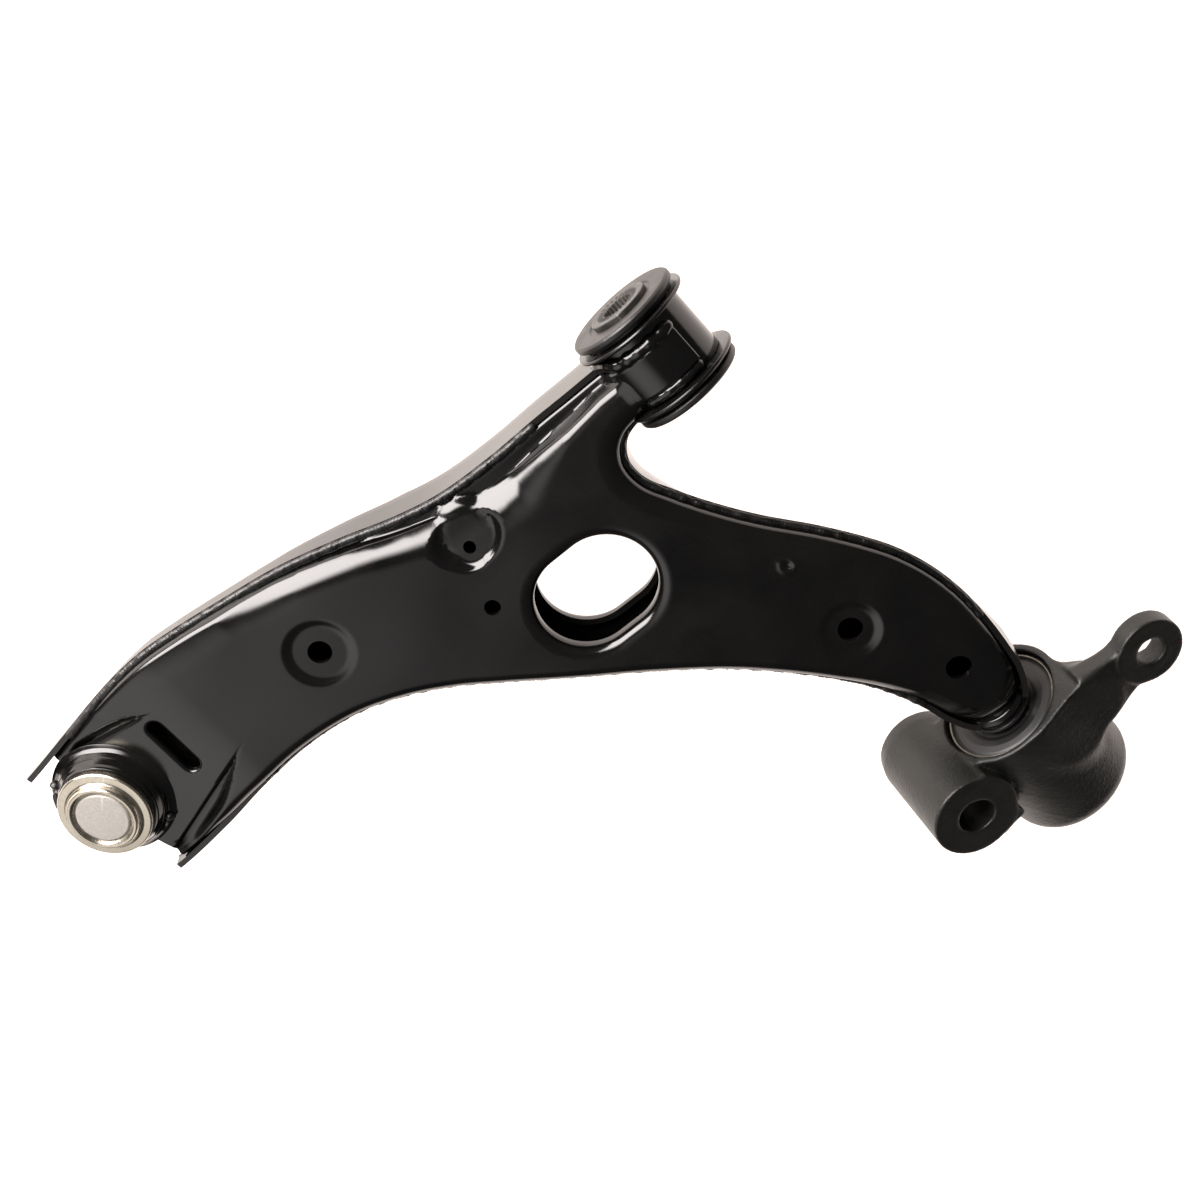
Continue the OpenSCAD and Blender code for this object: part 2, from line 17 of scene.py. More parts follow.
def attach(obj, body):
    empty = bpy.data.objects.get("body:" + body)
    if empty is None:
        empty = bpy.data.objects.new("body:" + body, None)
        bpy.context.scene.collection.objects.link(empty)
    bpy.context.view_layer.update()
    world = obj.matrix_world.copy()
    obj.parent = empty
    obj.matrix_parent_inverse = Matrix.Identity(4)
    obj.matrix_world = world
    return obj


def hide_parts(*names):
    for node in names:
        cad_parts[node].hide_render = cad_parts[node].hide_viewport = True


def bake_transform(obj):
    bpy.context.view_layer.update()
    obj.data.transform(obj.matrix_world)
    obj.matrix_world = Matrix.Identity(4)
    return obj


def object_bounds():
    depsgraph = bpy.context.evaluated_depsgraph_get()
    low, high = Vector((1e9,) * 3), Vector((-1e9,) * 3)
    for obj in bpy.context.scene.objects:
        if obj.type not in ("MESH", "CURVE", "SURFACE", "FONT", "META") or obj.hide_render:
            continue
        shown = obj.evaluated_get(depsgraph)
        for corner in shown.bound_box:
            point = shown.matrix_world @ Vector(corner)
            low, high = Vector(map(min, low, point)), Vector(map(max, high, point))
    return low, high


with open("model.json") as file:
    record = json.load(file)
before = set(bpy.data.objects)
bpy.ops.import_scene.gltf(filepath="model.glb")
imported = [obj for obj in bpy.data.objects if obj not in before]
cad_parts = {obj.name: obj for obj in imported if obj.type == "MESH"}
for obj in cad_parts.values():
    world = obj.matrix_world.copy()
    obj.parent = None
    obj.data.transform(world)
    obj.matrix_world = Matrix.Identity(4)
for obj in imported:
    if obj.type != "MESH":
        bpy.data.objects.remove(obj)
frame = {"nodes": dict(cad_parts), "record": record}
CAD_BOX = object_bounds()
MM = 0.001

# ---------------------------------------------------------------- sizes, as in the CAD
SHEET = 2.8
DECK_Z = 19.0
SEAM_Z = 9.0
FLOOR_Z = -20.0
SKIRT_IN = 3.0
TUBE_R = 22.4
TUBE_IN = 20.0
TUBE_LEN = 31.0
FLANGE_R = 28.5
DISC_R = 26.0
SLEEVE_R = 14.25
SLEEVE_BORE = 7.25
SLEEVE_LEN = 50.5
BALL_C = np.array([-1.0, 330.0, 8.5])
BALL_LEAN = math.radians(10.5)
FACE_R = 22.7
REAR_C = np.array([-234.0, -9.1, -1.4])
BUSH_TILT = math.radians(72)
BRACKET_ROLL = math.radians(11)
BUSH_LEN = 54.0
TAIL_GAP = 1.8
HOLE_C = np.array([-65.0, 89.0])
HOLE_W = 46.0
HOLE_L = 58.0

OUTLINE = [
    [30, 378], [32, 354], [37, 324], [42, 295], [44, 270], [42.5, 248], [39, 222],
    [34, 190], [26, 160], [18, 135], [13, 112], [11.5, 85], [12, 58], [12, 34],
    [13, 4], [20, -30], [-4, -56], [-28, -30], [-20, 4], [-19, 28], [-27, 38.5],
    [-39, 39.5], [-52, 33.5], [-68, 24.5], [-86, 12.5], [-107, -4], [-126, -17],
    [-140, -24.5], [-156, -30], [-173, -33], [-190, -33.5], [-207, -32.5], [-223, -30],
    [-237, -22], [-241, -8], [-234, 5], [-222, 12], [-209, 16], [-196, 21.5],
    [-182, 29.5], [-165, 42.5], [-148, 58], [-132, 75], [-114, 98], [-94, 126],
    [-74, 153], [-62, 170], [-51, 190], [-43, 213], [-40, 242], [-42, 272], [-46, 300],
    [-48.5, 333], [-46, 362], [-10, 392]]
FRONT_SIDE = (0, 17)
CROTCH_SIDE = (17, 34)
REAR_SIDE = (34, 55)
FRONT_SEAM = (2, 12)
CROTCH_SEAM = (19, 30)
REAR_SEAM = (37, 50)
WHOLE = (0, len(OUTLINE))
LEAN_SIDE = (20, 31)
LEAN = 0.45

BALL_FRAME = Matrix.Translation(BALL_C) @ Matrix.Rotation(-BALL_LEAN, 4, "X")
BUSH_FRAME = Matrix.Rotation(math.radians(90), 4, "Y")
BRACKET_FRAME = (
    Matrix.Translation(REAR_C)
    @ Matrix.Rotation(BUSH_TILT, 4, "Y")
    @ Matrix.Rotation(BRACKET_ROLL, 4, "Z")
)


# ---------------------------------------------------------------- small maths
def smooth(t):
    t = np.clip(t, 0.0, 1.0)
    return t * t * (3.0 - 2.0 * t)


def soft_ramp(u, w):
    """0 for u below -w, u above w, and a smooth bend between."""
    return np.where(u <= -w, 0.0, np.where(u >= w, u, (u + w) ** 2 / (4.0 * w)))


def soft_min(a, b, k):
    h = np.clip(0.5 + 0.5 * (b - a) / k, 0.0, 1.0)
    return b + (a - b) * h - k * h * (1.0 - h)


def soft_max(a, b, k):
    return -soft_min(-a, -b, k)


def wave_noise(p, scale, seed):
    """Smooth pseudo-random field from a few sine waves, about -1 to 1."""
    r = np.random.default_rng(seed)
    total = np.zeros(len(p))
    for k in range(7):
        direction = r.normal(size=p.shape[1])
        direction /= np.linalg.norm(direction)
        phase = r.uniform(0, 2 * math.pi)
        total += np.sin((p @ direction) * 2 * math.pi / scale * r.uniform(0.6, 1.7) + phase)
    return total / 3.2


def catmull_rom(corners, steps):
    b = np.array(corners, float)
    a, c, d = np.roll(b, 1, 0), np.roll(b, -1, 0), np.roll(b, -2, 0)
    a, b, c, d = (q[:, None, :] for q in (a, b, c, d))
    t = (np.arange(steps) / steps)[None, :, None]
    curve = 0.5 * (
        2 * b + (c - a) * t + (2 * a - 5 * b + 4 * c - d) * t**2
        + (3 * b - a - 3 * c + d) * t**3
    )
    return curve.reshape(-1, 2)


def even_loop(points, tags, gap):
    """A closed loop with points every gap, and its tags carried along."""
    closed = np.vstack([points, points[:1]])
    marks = np.append(tags, tags[0] + len(OUTLINE))
    run = np.append(0, np.cumsum(np.linalg.norm(np.diff(closed, axis=0), axis=1)))
    at = np.linspace(0, run[-1], int(run[-1] / gap) + 1)[:-1]
    xs = np.interp(at, run, closed[:, 0])
    ys = np.interp(at, run, closed[:, 1])
    return np.stack([xs, ys], 1), np.interp(at, run, marks)


# the outline as an even loop; a point's tag is the number of the corner it follows, and more
CURVE_STEPS = 40
LOOP_GAP = 1.8
FINE = catmull_rom(OUTLINE, CURVE_STEPS)
LOOP, LOOP_TAG = even_loop(FINE, np.arange(len(FINE)) / CURVE_STEPS, LOOP_GAP)


def inward(loop):
    t = np.roll(loop, -1, 0) - np.roll(loop, 1, 0)
    t /= np.linalg.norm(t, axis=1)[:, None]
    return np.stack([t[:, 1], -t[:, 0]], 1)


LOOP_IN = inward(LOOP)


CHUNK = 4000


def segment_distance(p, a, b):
    """Distance from each point to the nearest of the segments a to b, a chunk at a time."""
    best = np.full(len(p), np.inf)
    for start in range(0, len(p), CHUNK):
        q = p[start : start + CHUNK]
        ab = b - a
        t = ((q[:, None, :] - a[None]) * ab[None]).sum(2) / (ab**2).sum(1)[None]
        t = np.clip(t, 0, 1)
        gap = q[:, None, :] - (a[None] + t[:, :, None] * ab[None])
        best[start : start + CHUNK] = np.sqrt((gap**2).sum(2)).min(1)
    return best


def side_distance(p, side):
    """Distance to the part of the outline between two corners."""
    pick = (LOOP_TAG >= side[0] - 0.1) & (LOOP_TAG <= side[1] + 0.1)
    a = LOOP[pick]
    b = np.roll(LOOP, -1, 0)[pick]
    return segment_distance(p, a, b)


def in_polygon(p, poly):
    x, y = p[:, 0], p[:, 1]
    inside = np.zeros(len(p), bool)
    a, b = poly, np.roll(poly, -1, 0)
    for (x0, y0), (x1, y1) in zip(a, b):
        crosses = (y0 > y) != (y1 > y)
        if crosses.any():
            at = x0 + (y - y0) * (x1 - x0) / (y1 - y0 + 1e-12)
            inside ^= crosses & (x < at)
    return inside


def oval_loop(c, w, l, turn=0.0, gap=1.2):
    """Oval with round ends, long along Y before it is turned."""
    r, h = w / 2, (l - w) / 2
    n = max(12, int(math.pi * r / gap))
    m = max(1, int(2 * h / gap))
    top = [(r * math.cos(a), h + r * math.sin(a)) for a in np.linspace(0, math.pi, n)]
    left = [(-r, h - 2 * h * k / m) for k in range(1, m)]
    bottom = [(-x, -y) for x, y in top]
    right = [(r, -h + 2 * h * k / m) for k in range(1, m)]
    p = np.array(top + left + bottom + right)
    ca, sa = math.cos(turn), math.sin(turn)
    return np.stack([c[0] + p[:, 0] * ca - p[:, 1] * sa, c[1] + p[:, 0] * sa + p[:, 1] * ca], 1)


def oval_distance(p, c, w, l, turn=0.0):
    """Distance outside an oval, negative inside it."""
    ca, sa = math.cos(turn), math.sin(turn)
    q = p - np.array(c)
    u = q[:, 0] * ca + q[:, 1] * sa
    v = -q[:, 0] * sa + q[:, 1] * ca
    h = (l - w) / 2
    v = np.abs(v)
    return np.hypot(u, np.maximum(v - h, 0)) - w / 2


# ---------------------------------------------------------------- mesh helpers
def place(points, matrix):
    m = np.array(matrix)
    return points @ m[:3, :3].T + m[:3, 3]


def link_mesh(name, mesh, material):
    mesh.materials.append(material)
    piece = bpy.data.objects.new(name, mesh)
    bpy.context.scene.collection.objects.link(piece)
    return piece


def finish_piece(name, mesh, body, slot, replaced, sharp, look=None):
    """Smooth shading, the slot's material or another look, a body, and the nodes it replaces."""
    for poly in mesh.polygons:
        poly.use_smooth = True
    mesh.set_sharp_from_angle(angle=math.radians(sharp))
    piece = link_mesh(name, mesh, MATERIALS[look or slot])
    if body:
        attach(piece, body)
    if replaced:
        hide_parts(*replaced)
    return piece


def add_piece(name, points, faces, body, slot, replaced=(), sharp=35.0, look=None):
    """A mesh from millimetre points, riding on a body."""
    mesh = bpy.data.meshes.new(name)
    mesh.from_pydata((np.asarray(points) * MM).tolist(), [], faces)
    mesh.validate()
    bm = bmesh.new()
    bm.from_mesh(mesh)
    bmesh.ops.remove_doubles(bm, verts=bm.verts, dist=1e-6)
    bmesh.ops.dissolve_degenerate(bm, edges=bm.edges, dist=1e-7)
    bmesh.ops.recalc_face_normals(bm, faces=bm.faces)
    bm.to_mesh(mesh)
    bm.free()
    return finish_piece(name, mesh, body, slot, replaced, sharp, look)


def rounded(profile, closed=True, arc=3):
    """A profile of (r, z) or (r, z, radius) corners with its given corners rounded."""
    n = len(profile)
    out = []
    for i, corner in enumerate(profile):
        p = np.array(corner[:2], float)
        f = corner[2] if len(corner) > 2 else 0.0
        if f <= 0 or (not closed and i in (0, n - 1)):
            out.append(p)
            continue
        before = np.array(profile[i - 1][:2], float) - p
        after = np.array(profile[(i + 1) % n][:2], float) - p
        lb, la = np.linalg.norm(before), np.linalg.norm(after)
        angle = math.acos(np.clip(before @ after / (lb * la), -0.9999, 0.9999))
        reach = min(f / math.tan(angle / 2), 0.48 * lb, 0.48 * la)
        a, b = p + before / lb * reach, p + after / la * reach
        for t in np.linspace(0, 1, arc + 1):
            out.append((1 - t) ** 2 * a + 2 * t * (1 - t) * p + t * t * b)
    return np.array(out)


def lathe(profile, matrix, count=128, closed=True, arc=3, wobble=None):
    """Points and faces of a profile of (r, z) turned about the frame's z axis."""
    ring = rounded(profile, closed, arc)
    n = len(ring)
    angle = np.arange(count) * 2 * math.pi / count
    r = np.repeat(ring[:, 0][None], count, 0)
    z = np.repeat(ring[:, 1][None], count, 0)
    if wobble:
        r, z = wobble(r, z, angle[:, None])
    x, y = r * np.cos(angle)[:, None], r * np.sin(angle)[:, None]
    points = np.stack([x, y, z], -1).reshape(-1, 3)
    faces = []
    last = n if closed else n - 1
    for i in range(count):
        j = (i + 1) % count
        for k in range(last):
            m = (k + 1) % n
            faces.append((i * n + k, j * n + k, j * n + m, i * n + m))
    return place(points, matrix), faces


def turned(name, profile, matrix, body, slot, replaced=(), look=None, **kw):
    points, faces = lathe(profile, matrix, **kw)
    return add_piece(name, points, faces, body, slot, replaced, look=look)


BEAD_STEP = 0.6
RIPPLE_PITCH = 1.7


def swept_bead(path, radius, seed, sides=16, ripple=0.12, lumps=0.18, flat=1.0, fine=1.0):
    """Points and faces of a weld bead along a path of 3-D points, swelling and rippled."""
    path = np.asarray(path, float)
    run = np.append(0, np.cumsum(np.linalg.norm(np.diff(path, axis=0), axis=1)))
    n = max(10, int(run[-1] / BEAD_STEP))
    at = np.linspace(0, run[-1], n)
    p = np.stack([np.interp(at, run, path[:, k]) for k in range(3)], 1)
    for _ in range(4):
        p[1:-1] = 0.25 * p[:-2] + 0.5 * p[1:-1] + 0.25 * p[2:]
    t = np.gradient(p, axis=0)
    t /= np.linalg.norm(t, axis=1)[:, None]
    side = np.cross(t, [0.0, 0.0, 1.0])
    side /= np.maximum(np.linalg.norm(side, axis=1), 1e-6)[:, None]
    up = np.cross(side, t)
    r = np.random.default_rng(seed)
    drift = np.cumsum(r.normal(0, 0.05, n))
    scallop = ripple * np.abs(np.sin(at * math.pi / RIPPLE_PITCH + drift))
    slow = lumps * wave_noise(at[:, None], 9.0, seed + 100)
    close = np.minimum(1.0, np.minimum(at, run[-1] - at) / (1.5 * radius))
    cap = np.sqrt(np.clip(1 - (1 - close) ** 2, 0.0025, 1))
    angle = np.arange(sides) * 2 * math.pi / sides
    spin = np.stack([np.cos(angle), np.sin(angle)], 1)
    rad = ((radius + scallop + slow) * cap)[:, None] * np.ones(sides)
    ring = p[:, None, :] + rad[..., None] * (
        spin[None, :, :1] * side[:, None, :] + flat * spin[None, :, 1:] * up[:, None, :])
    flatten = ring.reshape(-1, 3)
    swell = 0.10 * wave_noise(flatten, 4.2, seed + 200) + 0.05 * wave_noise(flatten, 2.1, seed)
    outward = flatten - np.repeat(p, sides, 0)
    outward /= np.maximum(np.linalg.norm(outward, axis=1), 1e-6)[:, None]
    points = flatten + outward * (fine * swell * np.repeat(cap, sides))[:, None]
    faces = []
    for k in range(n - 1):
        for m in range(sides):
            after = (m + 1) % sides
            a, b = k * sides, (k + 1) * sides
            faces.append((a + m, a + after, b + after, b + m))
    faces.append(tuple(range(sides - 1, -1, -1)))
    faces.append(tuple((n - 1) * sides + m for m in range(sides)))
    return points, faces


def surface_nets(field, low, high, step):
    """Quads on the zero level of a signed distance field, pulled on to the surface."""
    axes = [np.arange(a, b + step, step) for a, b in zip(low, high)]
    shape = tuple(len(a) for a in axes)
    grid = np.stack(np.meshgrid(*axes, indexing="ij"), -1).reshape(-1, 3)
    value = field(grid).reshape(shape)
    solid = value < 0
    low = np.array(low, float)
    cells = np.array(shape) - 1
    number = -np.ones(tuple(cells), int)
    inside = np.zeros(tuple(cells), int)
    for start in np.ndindex(2, 2, 2):
        inside += solid[tuple(slice(a, a + n) for a, n in zip(start, cells))]
    active = (inside > 0) & (inside < 8)
    number[active] = np.arange(active.sum())
    total = np.zeros((active.sum(), 3))
    hits = np.zeros(active.sum())
    faces = []
    for axis in range(3):
        other = [k for k in range(3) if k != axis]
        first = [slice(None)] * 3
        second = [slice(None)] * 3
        first[axis], second[axis] = slice(0, -1), slice(1, None)
        v0, v1 = value[tuple(first)], value[tuple(second)]
        cross = np.argwhere((v0 < 0) != (v1 < 0))
        a, b = v0[tuple(cross.T)], v1[tuple(cross.T)]
        point = low + cross * step
        point[:, axis] += step * a / (a - b)
        around = []
        for du, dv in ((0, 0), (-1, 0), (-1, -1), (0, -1)):
            cell = cross.copy()
            cell[:, other[0]] += du
            cell[:, other[1]] += dv
            ok = ((cell >= 0) & (cell < cells)).all(1)
            ids = np.where(ok, number[tuple(np.clip(cell, 0, cells - 1).T)], -1)
            good = ids >= 0
            np.add.at(total, ids[good], point[good])
            np.add.at(hits, ids[good], 1)
            around.append(ids)
        quad = np.stack(around, 1)
        quad = quad[(quad >= 0).all(1)]
        faces.extend(map(tuple, quad.tolist()))
    points = total / hits[:, None]
    # a few Newton steps, none of them longer than a share of the grid's
    eps = 0.05
    for _ in range(4):
        f = field(points)
        grad = np.stack(
            [(field(points + eps * e) - field(points - eps * e)) / (2 * eps)
             for e in np.eye(3)], 1)
        size = np.maximum((grad**2).sum(1), 0.2)
        move = -(f / size)[:, None] * grad
        length = np.linalg.norm(move, axis=1)[:, None]
        points = points + move * np.minimum(1, 0.35 * step / np.maximum(length, 1e-9))
    return points, faces


# ---------------------------------------------------------------- materials
def nodes_of(name):
    material = bpy.data.materials.new(name)
    material.use_nodes = True
    tree = material.node_tree
    return material, tree, tree.nodes["Principled BSDF"]


def feed(tree, socket, value):
    """Links an output into a socket, or sets the socket to a plain value."""
    if isinstance(value, bpy.types.NodeSocket):
        tree.links.new(value, socket)
    else:
        socket.default_value = value


def add_node(tree, kind, inputs, **settings):
    node = tree.nodes.new("ShaderNode" + kind)
    for key, value in settings.items():
        setattr(node, key, value)
    for key, value in inputs.items():
        feed(tree, node.inputs[key], value)
    return node


def noise(tree, coord, scale, detail=4.0, rough=0.55, distortion=0.0):
    return add_node(tree, "TexNoise", {
        "Vector": coord, "Scale": scale, "Detail": detail, "Roughness": rough,
        "Distortion": distortion}).outputs["Fac"]


def ramp(tree, value, start, end, low, high, kind="LINEAR"):
    """Maps start to low and end to high, whichever of start and end is the larger."""
    if start > end:
        start, end, low, high = end, start, high, low
    return add_node(tree, "MapRange", {
        "Value": value, "From Min": start, "From Max": end, "To Min": low, "To Max": high,
    }, interpolation_type=kind).outputs["Result"]


def soft_step(*values):
    return ramp(*values, kind="SMOOTHSTEP")


def tint(tree, factor, a, b):
    """Mix of two colours, by number since the node's sockets share their names."""
    return add_node(tree, "Mix", {0: factor, 6: a, 7: b}, data_type="RGBA").outputs[2]


def maths(tree, kind, a, b):
    return add_node(tree, "Math", {0: a, 1: b}, operation=kind).outputs[0]


def bump(tree, shader, heights):
    """Chains bumps of (height, strength, distance in mm) into the shader."""
    last = None
    for height, strength, distance in heights:
        inputs = {"Height": height, "Strength": strength, "Distance": distance * MM}
        if last:
            inputs["Normal"] = last
        last = add_node(tree, "Bump", inputs).outputs["Normal"]
    feed(tree, shader.inputs["Normal"], last)


def edge_wear(tree):
    """0 on flat faces and 1 on sharp outer edges."""
    geometry = tree.nodes.new("ShaderNodeNewGeometry")
    return ramp(tree, geometry.outputs["Pointiness"], 0.53, 0.62, 0.0, 1.0)


# span of the mixed noise over which a finish goes from its dark to its light tone
MIX_SPREAD = (0.35, 0.68)


def finish_material(
    name, dark, light, rough, blotch, grain, wear, bumps, metal=0.0, wear_amount=0.5,
):
    """Two-tone surface with blotches, roughness that follows them, fine grain and edge wear."""
    material, tree, shader = nodes_of(name)
    coord = tree.nodes.new("ShaderNodeTexCoord").outputs["Object"]
    patches = noise(tree, coord, blotch, 5.0, 0.6, 0.4)
    fine = noise(tree, coord, grain, 2.0, 0.5)
    patches, fine = maths(tree, "MULTIPLY", patches, 0.7), maths(tree, "MULTIPLY", fine, 0.3)
    mixed = maths(tree, "ADD", patches, fine)
    colour = tint(tree, ramp(tree, mixed, *MIX_SPREAD, 0.0, 1.0), (*dark, 1), (*light, 1))
    roughness = ramp(tree, mixed, *MIX_SPREAD, *rough)
    worn = maths(tree, "MULTIPLY", edge_wear(tree), wear_amount)
    colour = tint(tree, worn, colour, (*wear, 1))
    roughness = maths(tree, "ADD", roughness, maths(tree, "MULTIPLY", worn, 0.12))
    for key, value in (("Base Color", colour), ("Roughness", roughness), ("Metallic", metal)):
        feed(tree, shader.inputs[key], value)
    bump(tree, shader, [
        (noise(tree, coord, scale, 3.0, 0.6), strength, depth)
        for scale, strength, depth in bumps])
    return material


# each finish: dark and light tone, roughness of each, size of blotches and grain (per metre),
# colour of worn edges, and bumps as (scale per metre, strength, depth in mm)
FINISHES = {
    "ecoat_black": dict(
        dark=(0.0014, 0.0014, 0.0015), light=(0.0042, 0.0039, 0.0034), rough=(0.09, 0.20),
        blotch=26.0, grain=900.0, wear=(0.02, 0.019, 0.018), wear_amount=0.35,
        bumps=((260.0, 0.05, 0.06), (1500.0, 0.04, 0.02))),
    "weld_black": dict(
        dark=(0.0016, 0.0016, 0.0016), light=(0.0046, 0.0044, 0.0040), rough=(0.22, 0.48),
        blotch=160.0, grain=2200.0, wear=(0.02, 0.019, 0.018),
        bumps=((900.0, 0.5, 0.3), (2600.0, 0.4, 0.12))),
    "gloss_weld": dict(
        dark=(0.0014, 0.0014, 0.0014), light=(0.0030, 0.0029, 0.0027), rough=(0.10, 0.22),
        blotch=110.0, grain=1600.0, wear=(0.015, 0.0145, 0.014),
        bumps=((420.0, 0.25, 0.25), (1500.0, 0.15, 0.08))),
    "can_black": dict(
        dark=(0.0018, 0.0018, 0.0018), light=(0.0040, 0.0038, 0.0034), rough=(0.18, 0.34),
        blotch=60.0, grain=1500.0, wear=(0.03, 0.028, 0.026),
        bumps=((700.0, 0.08, 0.05), (2600.0, 0.06, 0.02))),
    "bush_rubber": dict(
        dark=(0.0048, 0.0046, 0.0042), light=(0.0095, 0.0088, 0.0080), rough=(0.36, 0.52),
        blotch=70.0, grain=2400.0, wear=(0.05, 0.047, 0.043),
        bumps=((1400.0, 0.18, 0.08), (3600.0, 0.12, 0.03))),
    "boot_rubber": dict(
        dark=(0.004, 0.004, 0.004), light=(0.009, 0.0086, 0.008), rough=(0.38, 0.6),
        blotch=60.0, grain=2200.0, wear=(0.05, 0.048, 0.045),
        bumps=((900.0, 0.12, 0.08), (3000.0, 0.1, 0.03))),
    "dark_rubber": dict(
        dark=(0.0018, 0.0018, 0.0018), light=(0.0044, 0.0042, 0.0039), rough=(0.38, 0.54),
        blotch=60.0, grain=2200.0, wear=(0.02, 0.019, 0.018),
        bumps=((900.0, 0.12, 0.08), (3000.0, 0.1, 0.03))),
    "cast_black": dict(
        dark=(0.0032, 0.0036, 0.0028), light=(0.0076, 0.0081, 0.0062), rough=(0.34, 0.50),
        blotch=45.0, grain=1600.0, wear=(0.018, 0.017, 0.016),
        bumps=((650.0, 0.55, 0.42), (1600.0, 0.50, 0.18))),
    "zinc_steel": dict(
        dark=(0.42, 0.38, 0.31), light=(0.56, 0.52, 0.44), rough=(0.20, 0.32),
        metal=1.0, blotch=90.0, grain=2600.0, wear=(0.75, 0.73, 0.68),
        bumps=((2400.0, 0.05, 0.02), (5200.0, 0.04, 0.01))),
    "cap_steel": dict(
        dark=(0.36, 0.34, 0.31), light=(0.50, 0.475, 0.44), rough=(0.42, 0.58),
        metal=0.5, blotch=900.0, grain=3600.0, wear=(0.7, 0.7, 0.69),
        bumps=((2600.0, 0.3, 0.08), (5200.0, 0.25, 0.03))),
    "sleeve_steel": dict(
        dark=(0.016, 0.015, 0.0135), light=(0.032, 0.030, 0.027), rough=(0.30, 0.46),
        metal=0.3, blotch=200.0, grain=3000.0, wear=(0.25, 0.24, 0.22),
        bumps=((1800.0, 0.15, 0.05), (4200.0, 0.1, 0.02))),
    "seat_plastic": dict(
        dark=(0.72, 0.70, 0.62), light=(0.80, 0.78, 0.70), rough=(0.4, 0.5),
        blotch=60.0, grain=2000.0, wear=(0.85, 0.84, 0.78), bumps=((1800.0, 0.08, 0.03),)),
    "stud_steel": dict(
        dark=(0.42, 0.41, 0.39), light=(0.58, 0.57, 0.54), rough=(0.2, 0.34),
        metal=1.0, blotch=120.0, grain=3000.0, wear=(0.7, 0.69, 0.67),
        bumps=((2200.0, 0.08, 0.03), (5000.0, 0.06, 0.01))),
    "spring_steel": dict(
        dark=(0.35, 0.34, 0.33), light=(0.5, 0.49, 0.47), rough=(0.24, 0.4),
        metal=1.0, blotch=150.0, grain=3000.0, wear=(0.65, 0.65, 0.63),
        bumps=((2400.0, 0.1, 0.03),)),
    "core_steel": dict(
        dark=(0.010, 0.010, 0.010), light=(0.020, 0.019, 0.018), rough=(0.2, 0.36),
        blotch=90.0, grain=2400.0, wear=(0.12, 0.115, 0.11), bumps=((1400.0, 0.12, 0.05),)),
    "can_steel": dict(
        dark=(0.10, 0.095, 0.08), light=(0.22, 0.20, 0.17), rough=(0.25, 0.4),
        metal=0.8, blotch=180.0, grain=3000.0, wear=(0.7, 0.66, 0.56),
        bumps=((2400.0, 0.12, 0.03),)),
}
MATERIALS = {name: finish_material(name, **finish) for name, finish in FINISHES.items()}


# ---------------------------------------------------------------- stamped shells
# how far from a cut the mesh is drawn on to it, levels of the deck's skirt, and depths of the
# oval hole's walls
EDGE_REACH = 2.2
SKIRT_LEVELS = (7.0, 4.5, 2.0)
WALL_DEPTHS = (6.5, 8.0)
RAMP_Y = 270.0
RAMP_SLOPE = (DECK_Z - BALL_C[2]) / (BALL_C[1] - RAMP_Y)
TAIL_ROUND = 9
# middle, radius and hole radius of the two dished drain holes; middle and radius of the others
DISH_DEPTH = 1.25
DISH_BAND = 4.5
DISHES = [(-6.5, 201.5, 17.0, 5.6), (-152.0, 15.0, 14.7, 5.8)]
PLAIN_HOLES = [(-40.0, 128.0, 3.8), (-199.0, -10.0, 6.0)]
# middle of the press mark in the shoulder, and the radius of the hole in it
DIMPLE = (-13.0, 117.5, 2.9)
DENT = (34, 303)
PIP = (-109.0, 16.5)
PAD_C = (-7.7, 114.2)
PAD_Z = 13.4
LEDGE_Z = 9.5
SLOT_TURN = math.radians(90)
SLOT_C = (1.6, 286.3)
SLOT_W = 7.4
SLOT_L = 30.4
# distances out from a hole's edge at which the mesh has a loop of points
HOLE_RINGS = (0, 0.15, 0.6, 1.4, 2.4, 3.6, 5.0, 6.6)
SLOT_RINGS = (0, 0.2, 0.7, 1.4, 2.2)
# tip, foot, side that the trough lies on, width and depth of the two blade-shaped troughs
GROOVES = (
    ((19.4, 275.3), (25.2, 321.0), 1, 6.0, 3.0),
    ((-15.5, 256.4), (-35.5, 318.0), -1, 10.0, 4.2),
)
TONGUE = (-11.0, 8.0)
TONGUE_A = 41.0
TIGHT = 4.0
TURN = math.radians(50)


def arc_drop(s, big, turn=TURN):
    """Fall of the shoulder at a distance s out from the edge of the plateau."""
    wide = big * np.sin(turn)
    s = np.clip(s, 0, None)
    fall = big - np.sqrt(np.maximum(big**2 - np.minimum(s, wide) ** 2, 0))
    centre = wide - TIGHT * np.sin(turn)
    inner = np.sqrt(np.maximum(TIGHT**2 - np.clip(s - centre, 0, TIGHT) ** 2, 0))
    return np.where(s > wide, fall + TIGHT * np.cos(turn) - inner, fall)


def rolled_edge(d, r):
    """Fall of an edge of radius r at a distance d in from where it is steepest."""
    return r - np.sqrt(np.maximum(r * r - (r - np.clip(d, 0, r)) ** 2, 0))


def shoulder_width(big, turn=TURN):
    return big * np.sin(turn) + TIGHT * (1 - np.sin(turn))


def front_radius(y):
    return np.interp(
        y, [40, 52, 67, 83, 96, 108, 123, 135, 160, 190, 215, 240, 262, 285, 310, 335],
        [5, 6, 13, 22, 24, 24, 20, 18, 16, 16, 18, 23, 21, 11, 6, 4])


def front_ledge(y):
    """Width of the step between the front skirt and the shoulder's foot."""
    return np.interp(y, [30, 50, 92, 123, 151, 188, 215, 240], [6, 8, 8, 5, 3, 1.5, 0.5, 0])


def crotch_radius(x):
    return np.interp(x, [-240, -205, -170, -130, -80, -45, -20], [19, 18, 14, 9, 8.5, 9, 11])


